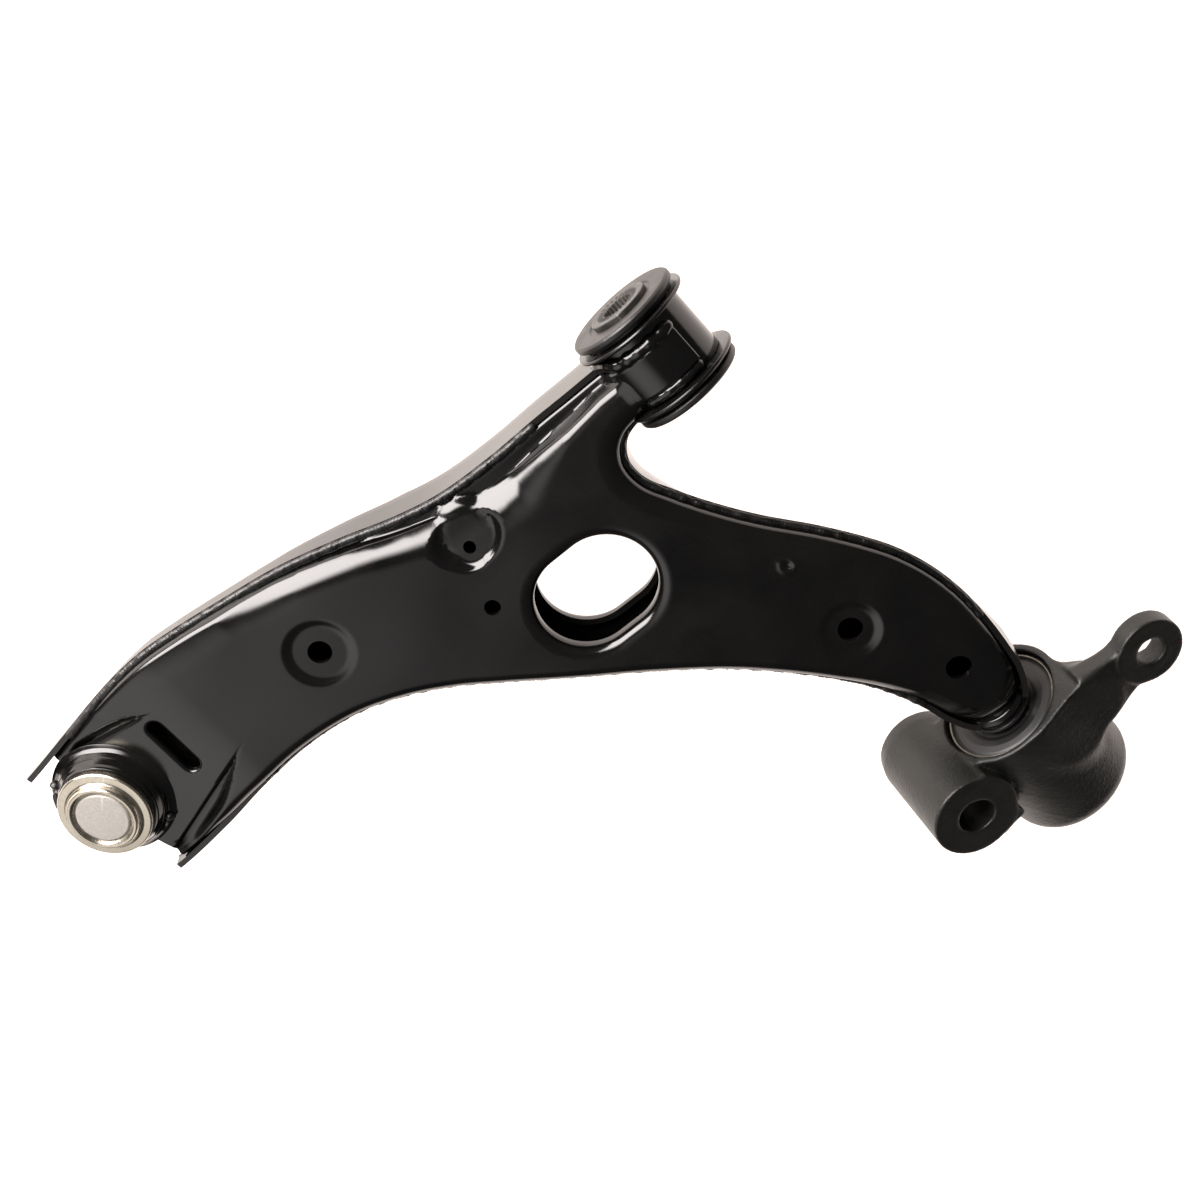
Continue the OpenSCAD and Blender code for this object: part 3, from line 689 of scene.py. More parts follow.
def rear_radius(x, y):
    return np.interp(x + 0 * y, [-240, -205, -170, -120, -60, -40], [19, 16, 9, 7, 7, 6])


def groove(x, y, tip, foot, side, width, depth):
    """Fall of a blade-shaped trough that widens from its tip to its foot."""
    t = (y - tip[1]) / (foot[1] - tip[1])
    edge = tip[0] + (foot[0] - tip[0]) * t
    u = (x - edge) * side
    grow = smooth(t * 1.6) * (1 - smooth((t - 1.0) * 3.0))
    w = np.maximum(width * grow, 0.6)
    shape = smooth((u + 0.8) / 2.6) * (1 - smooth((u - 0.4 * w) / (0.6 * w)))
    return depth * grow * shape * ((t > 0) & (t < 1.35))


def front_fall(y, d, big):
    """Fall of the front shoulder at a distance d from the skirt, with the ledge at its foot."""
    ledge = front_ledge(y)
    turn = np.radians(np.interp(y, [190, 226], [50, 20]))
    big = big * np.interp(y, [190, 226], [1.0, 1.5])
    fall = arc_drop(shoulder_width(big, turn) - (d - ledge), big, turn)
    fall = fall + 3.0 * soft_ramp(ledge - d, 0.5)
    edge = np.clip(2.5 - d, 0, 2.5)
    step = DECK_Z - LEDGE_Z + 2.5 - np.sqrt(np.maximum(6.25 - edge**2, 0))
    share = smooth(ledge)
    return fall + (soft_min(fall, step, 2.4) - fall) * share


def tongue_height(x, y):
    """Top of the tongue over the cross tube, as far as it blends into the deck."""
    u = np.abs(x - (TONGUE[0] + TONGUE[1]) / 2) / ((TONGUE[1] - TONGUE[0]) / 2)
    radius = TUBE_R + SHEET + 0.1 - 6.0 * np.clip(u - 0.8, 0, None) ** 1.5 * 3.0
    top = np.sqrt(np.maximum(radius**2 - y**2, 0))
    return top - 2.6 * smooth((17.0 - y) / 7.0) - 6.0 * smooth(y - 24.0)


def deck_height(p, exact=None):
    x, y = p[:, 0], p[:, 1]
    z = DECK_Z - RAMP_SLOPE * soft_ramp(y - RAMP_Y, 9.0)
    z = z - 0.10 * soft_ramp(-178.0 - x, 18.0)
    radii = (front_radius(y), crotch_radius(x), rear_radius(x, y))
    falls = []
    for side, big in zip((FRONT_SIDE, CROTCH_SIDE, REAR_SIDE), radii):
        d = side_distance(p, side)
        if exact is not None:
            nearest = np.isfinite(exact) & (np.abs(d - exact) < 0.25)
            d = np.where(nearest, exact, d)
        if side == FRONT_SIDE:
            falls.append(front_fall(y, d - SKIRT_IN, big))
        else:
            falls.append(arc_drop(shoulder_width(big) - (d - SKIRT_IN), big))
    f = np.stack(falls)
    z = z - (f**4).sum(0) ** 0.25
    # the sheet is drawn down towards the pin at the cut end of the tail
    z = z - rolled_edge(tail_distance(x, y, z), TAIL_ROUND)
    for cx, cy, r, _ in DISHES:
        dist = np.hypot(x - cx, y - cy)
        z = z - DISH_DEPTH * (1 - smooth((dist - r + DISH_BAND) / DISH_BAND))
    # flat press mark that runs out of the shoulder on a small pad
    dist = np.hypot(x - DIMPLE[0], y - DIMPLE[1])
    out = np.hypot(x - PAD_C[0], y - PAD_C[1])
    cut = PAD_Z + 1.1 * soft_ramp(np.minimum(dist - 7.6, out - 12.5), 1.0)
    cut = cut + 0.25 * soft_ramp(PAD_C[0] - x, 4.0)
    round_edge = np.clip(out - 9.0, 0, 8.0)
    pad = PAD_Z - 8.0 + np.sqrt(64.0 - round_edge**2)
    z = soft_max(soft_min(z, cut, 1.0), pad, 1.5)
    for tip, foot, side, width, depth in GROOVES:
        z = z - groove(x, y, tip, foot, side, width, depth)
    near_tube = np.abs(x - (TONGUE[0] + TONGUE[1]) / 2) < 13
    z = np.where(near_tube & (y < 40), soft_max(z, tongue_height(x, y), 5.0), z)
    # press marks: a shallow dent in the plate and a small one beside the oval hole
    z = z - 0.5 * np.exp(-((x - DENT[0]) ** 2 + (y - DENT[1]) ** 2) / 9.0)
    dist = np.hypot(x - PIP[0], y - PIP[1])
    z = z - 1.1 * np.exp(-((dist / 1.8) ** 2)) + 0.45 * np.exp(-(((dist - 3.0) / 1.2) ** 2))
    # slight swell and fall of pressed sheet
    z = z + 0.10 * wave_noise(p, 60.0, 11)
    # rolled rims
    for c, w, l, turn, r in (
        (HOLE_C, HOLE_W, HOLE_L, 0.0, 5.0), (SLOT_C, SLOT_W, SLOT_L, SLOT_TURN, 2.0)):
        z = z - rolled_edge(oval_distance(p, c, w, l, turn), r)
    return z


def tail_distance(x, y, z):
    """Distance of points from the plane that ends the tail."""
    ax, ay, az = np.array(BRACKET_FRAME)[:3, 2]
    cx, cy, cz = REAR_C
    return (x - cx) * ax + (y - cy) * ay + (z - cz) * az - TAIL_GAP


def floor_height(p, exact=None):
    x, y = p[:, 0], p[:, 1]
    z = FLOOR_Z + np.interp(
        y, [132, 196, 262, 300, 345, 410], [0, 13, 15.5, 22.2, 14.8, 12])
    z = np.maximum(z, FLOOR_Z + (17.0 / 92.0) * soft_ramp(-158 - x, 10.0))
    d = side_distance(p, WHOLE)
    if exact is not None:
        d = np.where(np.isfinite(exact), exact, d)
    z = z + rolled_edge(d, 6.0)
    z = z + rolled_edge(oval_distance(p, HOLE_C, HOLE_W, HOLE_L), 5.0)
    # stiffening rib along the middle of each leg
    rib = np.exp(-((x - 2) / 9.0) ** 2) * smooth((y - 150) / 20) * (1 - smooth((y - 250) / 20))
    rib2 = np.exp(-((y - 10) / 8.0) ** 2)
    rib2 = rib2 * smooth((x + 185) / 20) * (1 - smooth((x + 125) / 20))
    return z + 2.2 * rib + 2.0 * rib2


def offset_loop(d):
    return LOOP + LOOP_IN * d


def trough_place(p, tip, foot, side):
    """Distance of plan points past a trough's edge line, and the share of its length."""
    along = (p[:, 1] - tip[1]) / (foot[1] - tip[1])
    return (p[:, 0] - tip[0] - (foot[0] - tip[0]) * along) * side, along


def near_trough(p, tip, foot, side):
    across, along = trough_place(p, tip, foot, side)
    return (across > -1.9) & (across < 2.9) & (along > -0.04) & (along < 1.1)


def trough_rows(tip, foot, side):
    """Rows of mesh points along a trough's steep wall."""
    rows = []
    for across in np.arange(-1.4, 2.6, 0.6):
        along = np.arange(-0.03, 1.09, 0.7 / (foot[1] - tip[1]))
        x = tip[0] + (foot[0] - tip[0]) * along + across * side
        rows.append(np.stack([x, tip[1] + (foot[1] - tip[1]) * along], 1))
    return np.vstack(rows)


def plan_surface(ring_depths, inner_depths, holes, detail, height, tracks=(), ledged=False):
    """Triangles over the outline: rings along its edge, loops round its holes, grid inside."""
    points, exact, edges, tags = [], [], [], []

    def add(loop, depth, constrain, tag):
        start = len(points)
        points.extend(map(tuple, loop))
        exact.extend(np.broadcast_to(depth, len(loop)).tolist())
        tags.extend([tag] * len(loop))
        if constrain:
            n = len(loop)
            edges.extend((start + i, start + (i + 1) % n) for i in range(n))

    for d in ring_depths:
        add(offset_loop(d), np.full(len(LOOP), d), d == ring_depths[0],
            "rim" if d == ring_depths[0] else "")
    shift = front_ledge(LOOP[:, 1]) * (LOOP_TAG < FRONT_SIDE[1]) * ledged
    for share in (0.1, 0.3, 0.5, 0.7, 0.9):
        depth = ring_depths[-1] + share * (shift + inner_depths[0] - ring_depths[-1])
        keep = shift + inner_depths[0] > ring_depths[-1] + 1.5
        add((LOOP + LOOP_IN * depth[:, None])[keep], depth[keep], False, "")
    for d in inner_depths:
        depth = d + shift
        loop = LOOP + LOOP_IN * depth[:, None]
        keep = depth > ring_depths[-1] + 0.3
        for tip, foot, side, _, _ in tracks:
            keep &= ~near_trough(loop, tip, foot, side)
        add(loop[keep], depth[keep], False, "")
    hole_loops = []
    for c, w, l, turn, rings in holes:
        for k, e in enumerate(rings):
            loop = oval_loop(c, w + 2 * e, l + 2 * e, turn)
            add(loop, np.nan, k == 0, "hole" if k == 0 else "")
        hole_loops.append(oval_loop(c, w, l, turn))
    low, high = LOOP.min(0), LOOP.max(0)
    gx, gy = np.meshgrid(np.arange(low[0], high[0]), np.arange(low[1], high[1]))
    col, row = np.meshgrid(np.arange(gx.shape[1]), np.arange(gx.shape[0]))
    gx = gx + 0.5 * (row % 2)
    grid = np.stack([gx.ravel(), gy.ravel()], 1)
    coarse = ((col % 3 == 0) & (row % 3 == 0)).ravel()
    fine = detail(grid[:, 0], grid[:, 1])
    keep = coarse | fine
    keep &= in_polygon(grid, LOOP)
    grid = grid[keep]
    d = side_distance(grid, WHOLE)
    keep = d > inner_depths[-1] + 0.9
    if ledged:
        keep &= side_distance(grid, FRONT_SIDE) - front_ledge(grid[:, 1]) > inner_depths[-1] + 0.9
    for c, w, l, turn, rings in holes:
        keep &= oval_distance(grid, c, w, l, turn) > rings[-1] + 0.6
    loose = [grid[keep]]
    for tip, foot, side, _, _ in tracks:
        rows = trough_rows(tip, foot, side)
        loose[0] = loose[0][~near_trough(loose[0], tip, foot, side)]
        loose.append(rows[side_distance(rows, WHOLE) > ring_depths[0] + 3.4])
    add(np.vstack(loose), np.nan, False, "")
    result = delaunay_2d_cdt([Vector(p) for p in points], edges, [], 0, 1e-5)
    verts = np.array([(v.x, v.y) for v in result[0]])
    tris = np.array([f for f in result[2] if len(f) == 3])
    depth = np.full(len(verts), np.nan)
    tag = [""] * len(verts)
    for i, origin in enumerate(result[3]):
        for o in origin:
            if o < len(points):
                if np.isfinite(exact[o]):
                    depth[i] = exact[o]
                tag[i] = tag[i] or tags[o]
    centre = verts[tris].mean(1)
    inside = in_polygon(centre, offset_loop(ring_depths[0]))
    for loop in hole_loops:
        inside &= ~in_polygon(centre, loop)
    tris = tris[inside]
    z = height(verts, depth)
    return np.column_stack([verts, z]), tris, tag


def drop_edges(bm, picked, levels, move=None):
    """Adds rings of wall below the picked boundary edges, down through the levels."""
    for level in levels:
        made = bmesh.ops.extrude_edge_only(bm, edges=picked)["geom"]
        verts = {g for g in made if isinstance(g, bmesh.types.BMVert)}
        for v in verts:
            if move:
                v.co = move(v.co, level)
            else:
                v.co.z = level
        edges = [g for g in made if isinstance(g, bmesh.types.BMEdge)]
        picked = [e for e in edges if all(v in verts for v in e.verts)]


def thicken(bm, thickness):
    """Turns an open surface into a sheet: a copy moved inward, and walls round the edges."""
    bm.normal_update()
    bmesh.ops.recalc_face_normals(bm, faces=bm.faces)
    bm.normal_update()
    rim = [e for e in bm.edges if e.is_boundary]
    outer = list(bm.verts)
    twin = {}
    for v in outer:
        twin[v] = bm.verts.new(v.co - v.normal * thickness)
    for f in list(bm.faces):
        bm.faces.new([twin[v] for v in reversed(f.verts)])
    for e in rim:
        face = e.link_faces[0]
        loop = [l for l in face.loops if l.edge == e][0]
        a, b = loop.vert, loop.link_loop_next.vert
        bm.faces.new((b, a, twin[a], twin[b]))


def sheet_piece(name, bm, slot, replaced):
    mesh = bpy.data.meshes.new(name)
    bmesh.ops.scale(bm, vec=(MM, MM, MM), verts=bm.verts)
    bm.normal_update()
    bm.to_mesh(mesh)
    bm.free()
    return finish_piece(name, mesh, "arm", slot, replaced, 40.0)


def cut_plane(bm, point, normal):
    """Removes what is on the side the normal points to."""
    geom = list(bm.verts) + list(bm.edges) + list(bm.faces)
    bmesh.ops.bisect_plane(
        bm, geom=geom, plane_co=Vector(point), plane_no=Vector(normal), clear_outer=True,
        dist=1e-5)


def off_axis(point, centre, axis):
    """A point's place along an axis, and its vector out from the axis."""
    q = np.array(point) - centre
    along = q @ axis
    return along, q - along * axis


def clear_round(bm, centre, axis, radius, length=60.0):
    """Removes vertices inside a cylinder and draws the new edge on to it."""
    c, a = np.array(centre, float), np.array(axis, float)
    gone = []
    for v in bm.verts:
        along, out = off_axis(v.co, c, a)
        if abs(along) <= length and np.linalg.norm(out) < radius:
            gone.append(v)
    bmesh.ops.delete(bm, geom=gone, context="VERTS")
    for v in bm.verts:
        if v.is_boundary:
            along, out = off_axis(v.co, c, a)
            r = np.linalg.norm(out)
            if abs(along) <= length and radius <= r < radius + EDGE_REACH:
                v.co = v.co + Vector(out * ((radius - r) / r))


def open_mesh(points, tris, tag):
    """Mesh of a plan surface, with the vertices on its rim and round its holes."""
    bm = bmesh.new()
    verts = [bm.verts.new(p) for p in points]
    rim_verts = {v for v, t in zip(verts, tag) if t == "rim"}
    hole_verts = {v for v, t in zip(verts, tag) if t == "hole"}
    for t in tris:
        bm.faces.new([verts[i] for i in t])
    bmesh.ops.delete(bm, geom=[v for v in bm.verts if not v.link_faces], context="VERTS")
    return bm, rim_verts, hole_verts


def open_edges(bm, picked):
    """Boundary edges between the picked vertices."""
    return [e for e in bm.edges if e.is_boundary and all(v in picked for v in e.verts)]


def edges_on_oval(bm, picked, reach, *oval):
    found = []
    for e in open_edges(bm, picked):
        mid = (e.verts[0].co + e.verts[1].co) / 2
        if abs(oval_distance(np.array([[mid.x, mid.y]]), *oval)[0]) < reach:
            found.append(e)
    return found


def cut_for_joints(bm):
    """Opens a sheet round the cross tube and ends it square at the rear bush."""
    clear_round(bm, (0, 0, 0), (1, 0, 0), TUBE_R + 0.1, 45.0)
    gone = [v for v in bm.verts if v.co.y < 2 and v.co.x > -45]
    bmesh.ops.delete(bm, geom=gone, context="VERTS")
    axis = np.array(BRACKET_FRAME)[:3, 2]
    cut_plane(bm, REAR_C + TAIL_GAP * axis, -axis)


def deck_detail(x, y):
    fine = (y > 250) & (y < 350)
    for cx, cy, r, _ in DISHES:
        fine |= np.abs(np.hypot(x - cx, y - cy) - r + 2) < 5
    fine |= np.hypot(x - DIMPLE[0], y - DIMPLE[1]) < 24
    fine |= (np.abs(x + 1.5) < 14) & (y < 40)
    fine |= np.hypot(x + 111, y - 16) < 8
    fine |= (x < -205) & (y < 30)
    return fine


# the flange walls end on the line through these two points, beyond the ball joint
TIP_A = np.array([32.0, 353.7])
TIP_B = np.array([-49.0, 333.5])
TIP_NORMAL = ((TIP_B - TIP_A)[1], (TIP_A - TIP_B)[0])


def nose_edge(x):
    """Plan limit in Y of the plate round the ball joint."""
    dx = x - BALL_C[0]
    disc = BALL_C[1] + np.sqrt(np.maximum(29.5**2 - dx**2, 0))
    front = np.interp(x, [8, 20, 27, 36], [340, 338, 335.5, 338])
    rear = np.interp(x, [-46, -38, -28, -10], [329, 328.5, 332, 338])
    return np.maximum(disc * (np.abs(dx) < 24), np.where(dx > 0, front, rear))


def round_hole(x, y, r):
    """A round hole, told as an oval of almost no length."""
    return (x, y), 2 * r, 2 * r + 0.01, 0.0, (0, 0.25, 0.7)


def build_deck():
    depths = [SKIRT_IN + d for d in (0, 0.12, 0.45, 0.95, 1.6, 2.4)]
    inner = [SKIRT_IN + d for d in (
        -0.6, -0.2, 0.2, 0.6, 1.0, 1.5, 2.1, 2.8, 3.5,
        4.2, 5.0, 5.8, 6.7, 7.7, 8.8, 10.1, 11.6, 13.3)]
    holes = [
        (HOLE_C, HOLE_W, HOLE_L, 0.0, HOLE_RINGS),
        (SLOT_C, SLOT_W, SLOT_L, SLOT_TURN, SLOT_RINGS)]
    holes += [round_hole(x, y, r) for x, y, _, r in DISHES]
    holes += [round_hole(x, y, r) for x, y, r in PLAIN_HOLES]
    holes.append(round_hole(*DIMPLE))
    bm, rim_verts, hole_verts = open_mesh(*plan_surface(
        depths, inner, holes, deck_detail, deck_height, GROOVES, True))
    # plate cut round the ball joint, then the skirt and the rolled walls of the holes
    gone = [v for v in bm.verts if v.co.y > nose_edge(v.co.x)]
    bmesh.ops.delete(bm, geom=gone, context="VERTS")
    for v in bm.verts:
        edge = float(nose_edge(v.co.x))
        if v.is_boundary and v.co.y > max(318, edge - 2.6) and v not in rim_verts:
            v.co.y = edge

    def lower(co, level):
        return Vector((co.x, co.y, min(co.z, level)))

    drop_edges(bm, open_edges(bm, rim_verts), SKIRT_LEVELS, lower)
    walls = edges_on_oval(bm, hole_verts, 0.6, HOLE_C, HOLE_W, HOLE_L)
    drop_edges(bm, walls, [DECK_Z - depth for depth in WALL_DEPTHS])
    walls = edges_on_oval(bm, hole_verts, 0.4, SLOT_C, SLOT_W, SLOT_L, SLOT_TURN)
    drop_edges(bm, walls, (1.2,), lambda co, fall: Vector((co.x, co.y, co.z - fall)))
    cut_for_joints(bm)
    clear_round(bm, BALL_C, np.array(BALL_FRAME)[:3, 2], FACE_R + 1.5)
    thicken(bm, SHEET)
    return sheet_piece("deck_sheet", bm, "ecoat_black", ["lower_shell"])


def build_tray():
    depths = [0, 0.12, 0.5, 1.1]
    inner = [1.9, 2.8, 3.9, 5.0, 6.3, 8.0]
    holes = [(HOLE_C, HOLE_W, HOLE_L, 0.0, HOLE_RINGS)]

    def detail(x, y):
        return (np.hypot(x + 1, y - 330) < 34) | ((x < -215) & (y < 20))

    bm, rim_verts, hole_verts = open_mesh(
        *plan_surface(depths, inner, holes, detail, floor_height))
    drop_edges(bm, open_edges(bm, hole_verts), [FLOOR_Z + depth for depth in WALL_DEPTHS])

    def rise(co, share):
        return Vector((co.x, co.y, co.z + (SEAM_Z - co.z) * share))

    levels = (0, 0.25, 0.5, 0.75, 0.93, 1.0)
    shares = [(b - a) / (1 - a) for a, b in zip(levels, levels[1:])]
    drop_edges(bm, open_edges(bm, rim_verts), shares, rise)
    # the wall between the crotch and the tail leans in towards its foot
    for v in bm.verts:
        k = int(np.argmin(((LOOP - np.array([v.co.x, v.co.y])) ** 2).sum(1)))
        c = LOOP_TAG[k]
        share = max(0.0, min(1.0, (c - LEAN_SIDE[0]) / 3, (LEAN_SIDE[1] - c) / 3))
        if share > 0:
            gap = math.hypot(*(LOOP[k] - np.array([v.co.x, v.co.y])))
            fade = 1 - float(smooth(np.array((gap - 2) / 14.0)))
            move = LEAN * max(0.0, SEAM_Z - v.co.z) * share * fade
            v.co.x += LOOP_IN[k][0] * move
            v.co.y += LOOP_IN[k][1] * move
    cut_for_joints(bm)
    cut_plane(bm, (TIP_A[0], TIP_A[1], 0), (TIP_NORMAL[0], TIP_NORMAL[1], 0))
    clear_round(bm, BALL_C, np.array(BALL_FRAME)[:3, 2], FACE_R - 0.9)

    # open nose: beyond the ball joint only the flange walls go on
    def past_nose(v):
        if v.co.y < 325:
            return False
        p = np.array([[v.co.x, v.co.y]])
        return side_distance(p, WHOLE)[0] > 0.9 and v.co.y > nose_edge(v.co.x)

    bmesh.ops.delete(bm, geom=[v for v in bm.verts if past_nose(v)], context="VERTS")
    thicken(bm, SHEET)
    return sheet_piece("tray_sheet", bm, "ecoat_black", ["upper_shell"])


build_deck()
build_tray()


# ---------------------------------------------------------------- welds
def seam(name, side, seed):
    pick = [i for i, c in enumerate(LOOP_TAG) if side[0] <= c <= side[1]]
    path = [(*(LOOP[i] + LOOP_IN[i] * 2.3), SEAM_Z + 0.5) for i in pick]
    points, faces = swept_bead(path, 1.9, seed, ripple=0.22, lumps=0.2, flat=0.85)
    add_piece(name + "_bead", points, faces, "arm", "weld_black", [name], sharp=60)


seam("seam_weld_front", FRONT_SEAM, 3)
seam("seam_weld_rear", REAR_SEAM, 4)
seam("seam_weld_crotch", CROTCH_SEAM, 5)


def round_tube(x, first, last, radius, count=70):
    """Path round the cross tube at x, between two angles in degrees from +Z."""
    a = np.radians(np.linspace(first, last, count))
    return np.stack([x + 0 * a, radius * np.sin(a), radius * np.cos(a)], 1)


def tube_tongue():
    """The sheet's tongue over the cross tube: a rounded strip bent round the X axis."""
    x0, x1 = TONGUE
    mid, half = (x0 + x1) / 2, (x1 - x0) / 2
    across = np.linspace(-1, 1, 41)
    along = np.radians(np.linspace(-TONGUE_A - 1.5, TONGUE_A + 6.0, 92))
    tip = smooth((np.degrees(along) + TONGUE_A + 1.5) / 5.0)
    points, faces = [], []
    rows = []
    for a, t in zip(along, tip):
        low_r = TUBE_R + 0.06
        for layer in (0, 1):
            row = []
            for u in across:
                edge = 1.0 - np.sqrt(max(0.0, 1 - max(0.0, (abs(u) - 0.80) / 0.20) ** 2))
                height = (SHEET - 1.9 * edge) * float(t)
                r = low_r if layer == 0 else low_r + 0.04 + height
                x = mid + half * u
                row.append(len(points))
                points.append((x, r * math.sin(a), r * math.cos(a)))
            rows.append(row)
    n = len(across)
    for k in range(len(along) - 1):
        for layer in (0, 1):
            a, b = rows[2 * k + layer], rows[2 * (k + 1) + layer]
            for m in range(n - 1):
                faces.append((a[m], a[m + 1], b[m + 1], b[m]))
        for m in (0, n - 1):
            faces.append(tuple(rows[2 * k + i][m] for i in (0, 1, 3, 2)))
    for k in (0, len(along) - 1):
        for m in range(n - 1):
            a, b = rows[2 * k], rows[2 * k + 1]
            faces.append((a[m], a[m + 1], b[m + 1], b[m]))
    add_piece("tube_tongue", points, faces, "arm", "ecoat_black", (), 50)


def saddle_weld():
    """Fillet beads: along both edges of the tongue, down the near wall, and under the floor."""
    near = np.vstack([
        round_tube(TONGUE[1] + 1.2, -TONGUE_A - 2, 34, TUBE_R + 0.5),
        round_tube(TONGUE[1] + 3.8, 50, 132, TUBE_R + 0.6)])
    points, faces = swept_bead(near, 3.3, 23, sides=24, ripple=0.0, lumps=0.26, fine=0.3)
    add_piece(
        "saddle_bead_near", points, faces, "arm", "weld_black",
        ["front_bush_weld"], 60, "gloss_weld")
    far = round_tube(TONGUE[0] - 1.4, -TONGUE_A, TONGUE_A, TUBE_R + 0.4)
    points, faces = swept_bead(far, 2.4, 24, sides=20, ripple=0.0, lumps=0.16, fine=0.3)
    add_piece("saddle_bead_far", points, faces, "arm", "weld_black", (), 60, "gloss_weld")
    low = -19.0
    y = math.sqrt((TUBE_R + 0.6) ** 2 - low**2) + 0.8
    path = [(x, y, low) for x in np.linspace(-13, 11, 40)]
    points, faces = swept_bead(path, 2.8, 22, ripple=0.1, lumps=0.25)
    add_piece("saddle_bead_low", points, faces, "arm", "weld_black", (), 60)


tube_tongue()
saddle_weld()


# ---------------------------------------------------------------- front bush
def mirrored(matrix, side):
    return matrix if side > 0 else matrix @ Matrix.Rotation(math.pi, 4, "X")


def front_bush():
    half = TUBE_LEN / 2
    turned(
        "cross_tube",
        [(TUBE_R, -half, 0.5), (TUBE_R, half, 0.5), (TUBE_IN, half, 0.4), (TUBE_IN, -half, 0.4)],
        BUSH_FRAME, "arm", "ecoat_black", ["front_bush_tube"])
    for side, label in ((1, "near"), (-1, "far")):
        m = mirrored(BUSH_FRAME, side)
        turned(
            "bush_can_" + label,
            [(TUBE_IN, 0.5), (TUBE_IN, half + 0.1), (TUBE_R + 1.2, half + 0.1, 1.0),
             (FLANGE_R - 0.8, half + 0.4, 0.6), (FLANGE_R - 0.4, half + 1.4, 0.5),
             (FLANGE_R - 0.9, half + 2.3, 0.5), (TUBE_R + 1.0, half + 2.1, 0.8),
             (TUBE_IN - 1.8, half + 1.6, 0.8), (TUBE_IN - 1.8, 0.5)],
            m, "arm", "can_black", ["front_can_" + label])
        turned(
            "bush_rubber_" + label,
            [(SLEEVE_R + 0.05, 1.0), (TUBE_IN - 1.8, 1.0), (TUBE_IN - 1.8, half + 2.2),
             (DISC_R - 3.2, half + 2.5, 0.6), (DISC_R - 3.0, half + 4.2, 0.5),
             (DISC_R - 0.6, half + 4.5, 0.4), (DISC_R, half + 5.2, 0.5),
             (DISC_R, half + 7.0, 0.8), (DISC_R - 1.0, half + 8.0, 1.0),
             (SLEEVE_R + 2.8, half + 7.9, 0.6), (SLEEVE_R + 2.2, half + 7.2, 0.4),
             (SLEEVE_R + 0.05, half + 7.2)],
            m, "arm", "bush_rubber", ["front_rubber_" + label], count=144)
    reach = SLEEVE_LEN / 2

    def teeth(r, z, angle):
        on_face = smooth((np.abs(z) - reach + 0.5) / 0.3)
        inner = smooth((10.9 - r) / 0.8)
        wave = 0.5 + 0.5 * np.cos(24 * angle)
        return r, z - np.sign(z) * 0.55 * on_face * inner * wave**0.7

    profile = [(SLEEVE_R, -reach, 0.5), (SLEEVE_R, reach, 0.5)]
    profile += [(r, reach) for r in (13.2, 11.2, 10.4, 9.6, 8.4)] + [(SLEEVE_BORE, reach, 0.5)]
    profile += [(SLEEVE_BORE, -reach, 0.5)] + [(r, -reach) for r in (8.4, 9.6, 10.4, 11.2, 13.2)]
    turned("bush_sleeve", profile, BUSH_FRAME, "front_sleeve", "sleeve_steel",
           ["front_sleeve"], count=288, wobble=teeth)


front_bush()


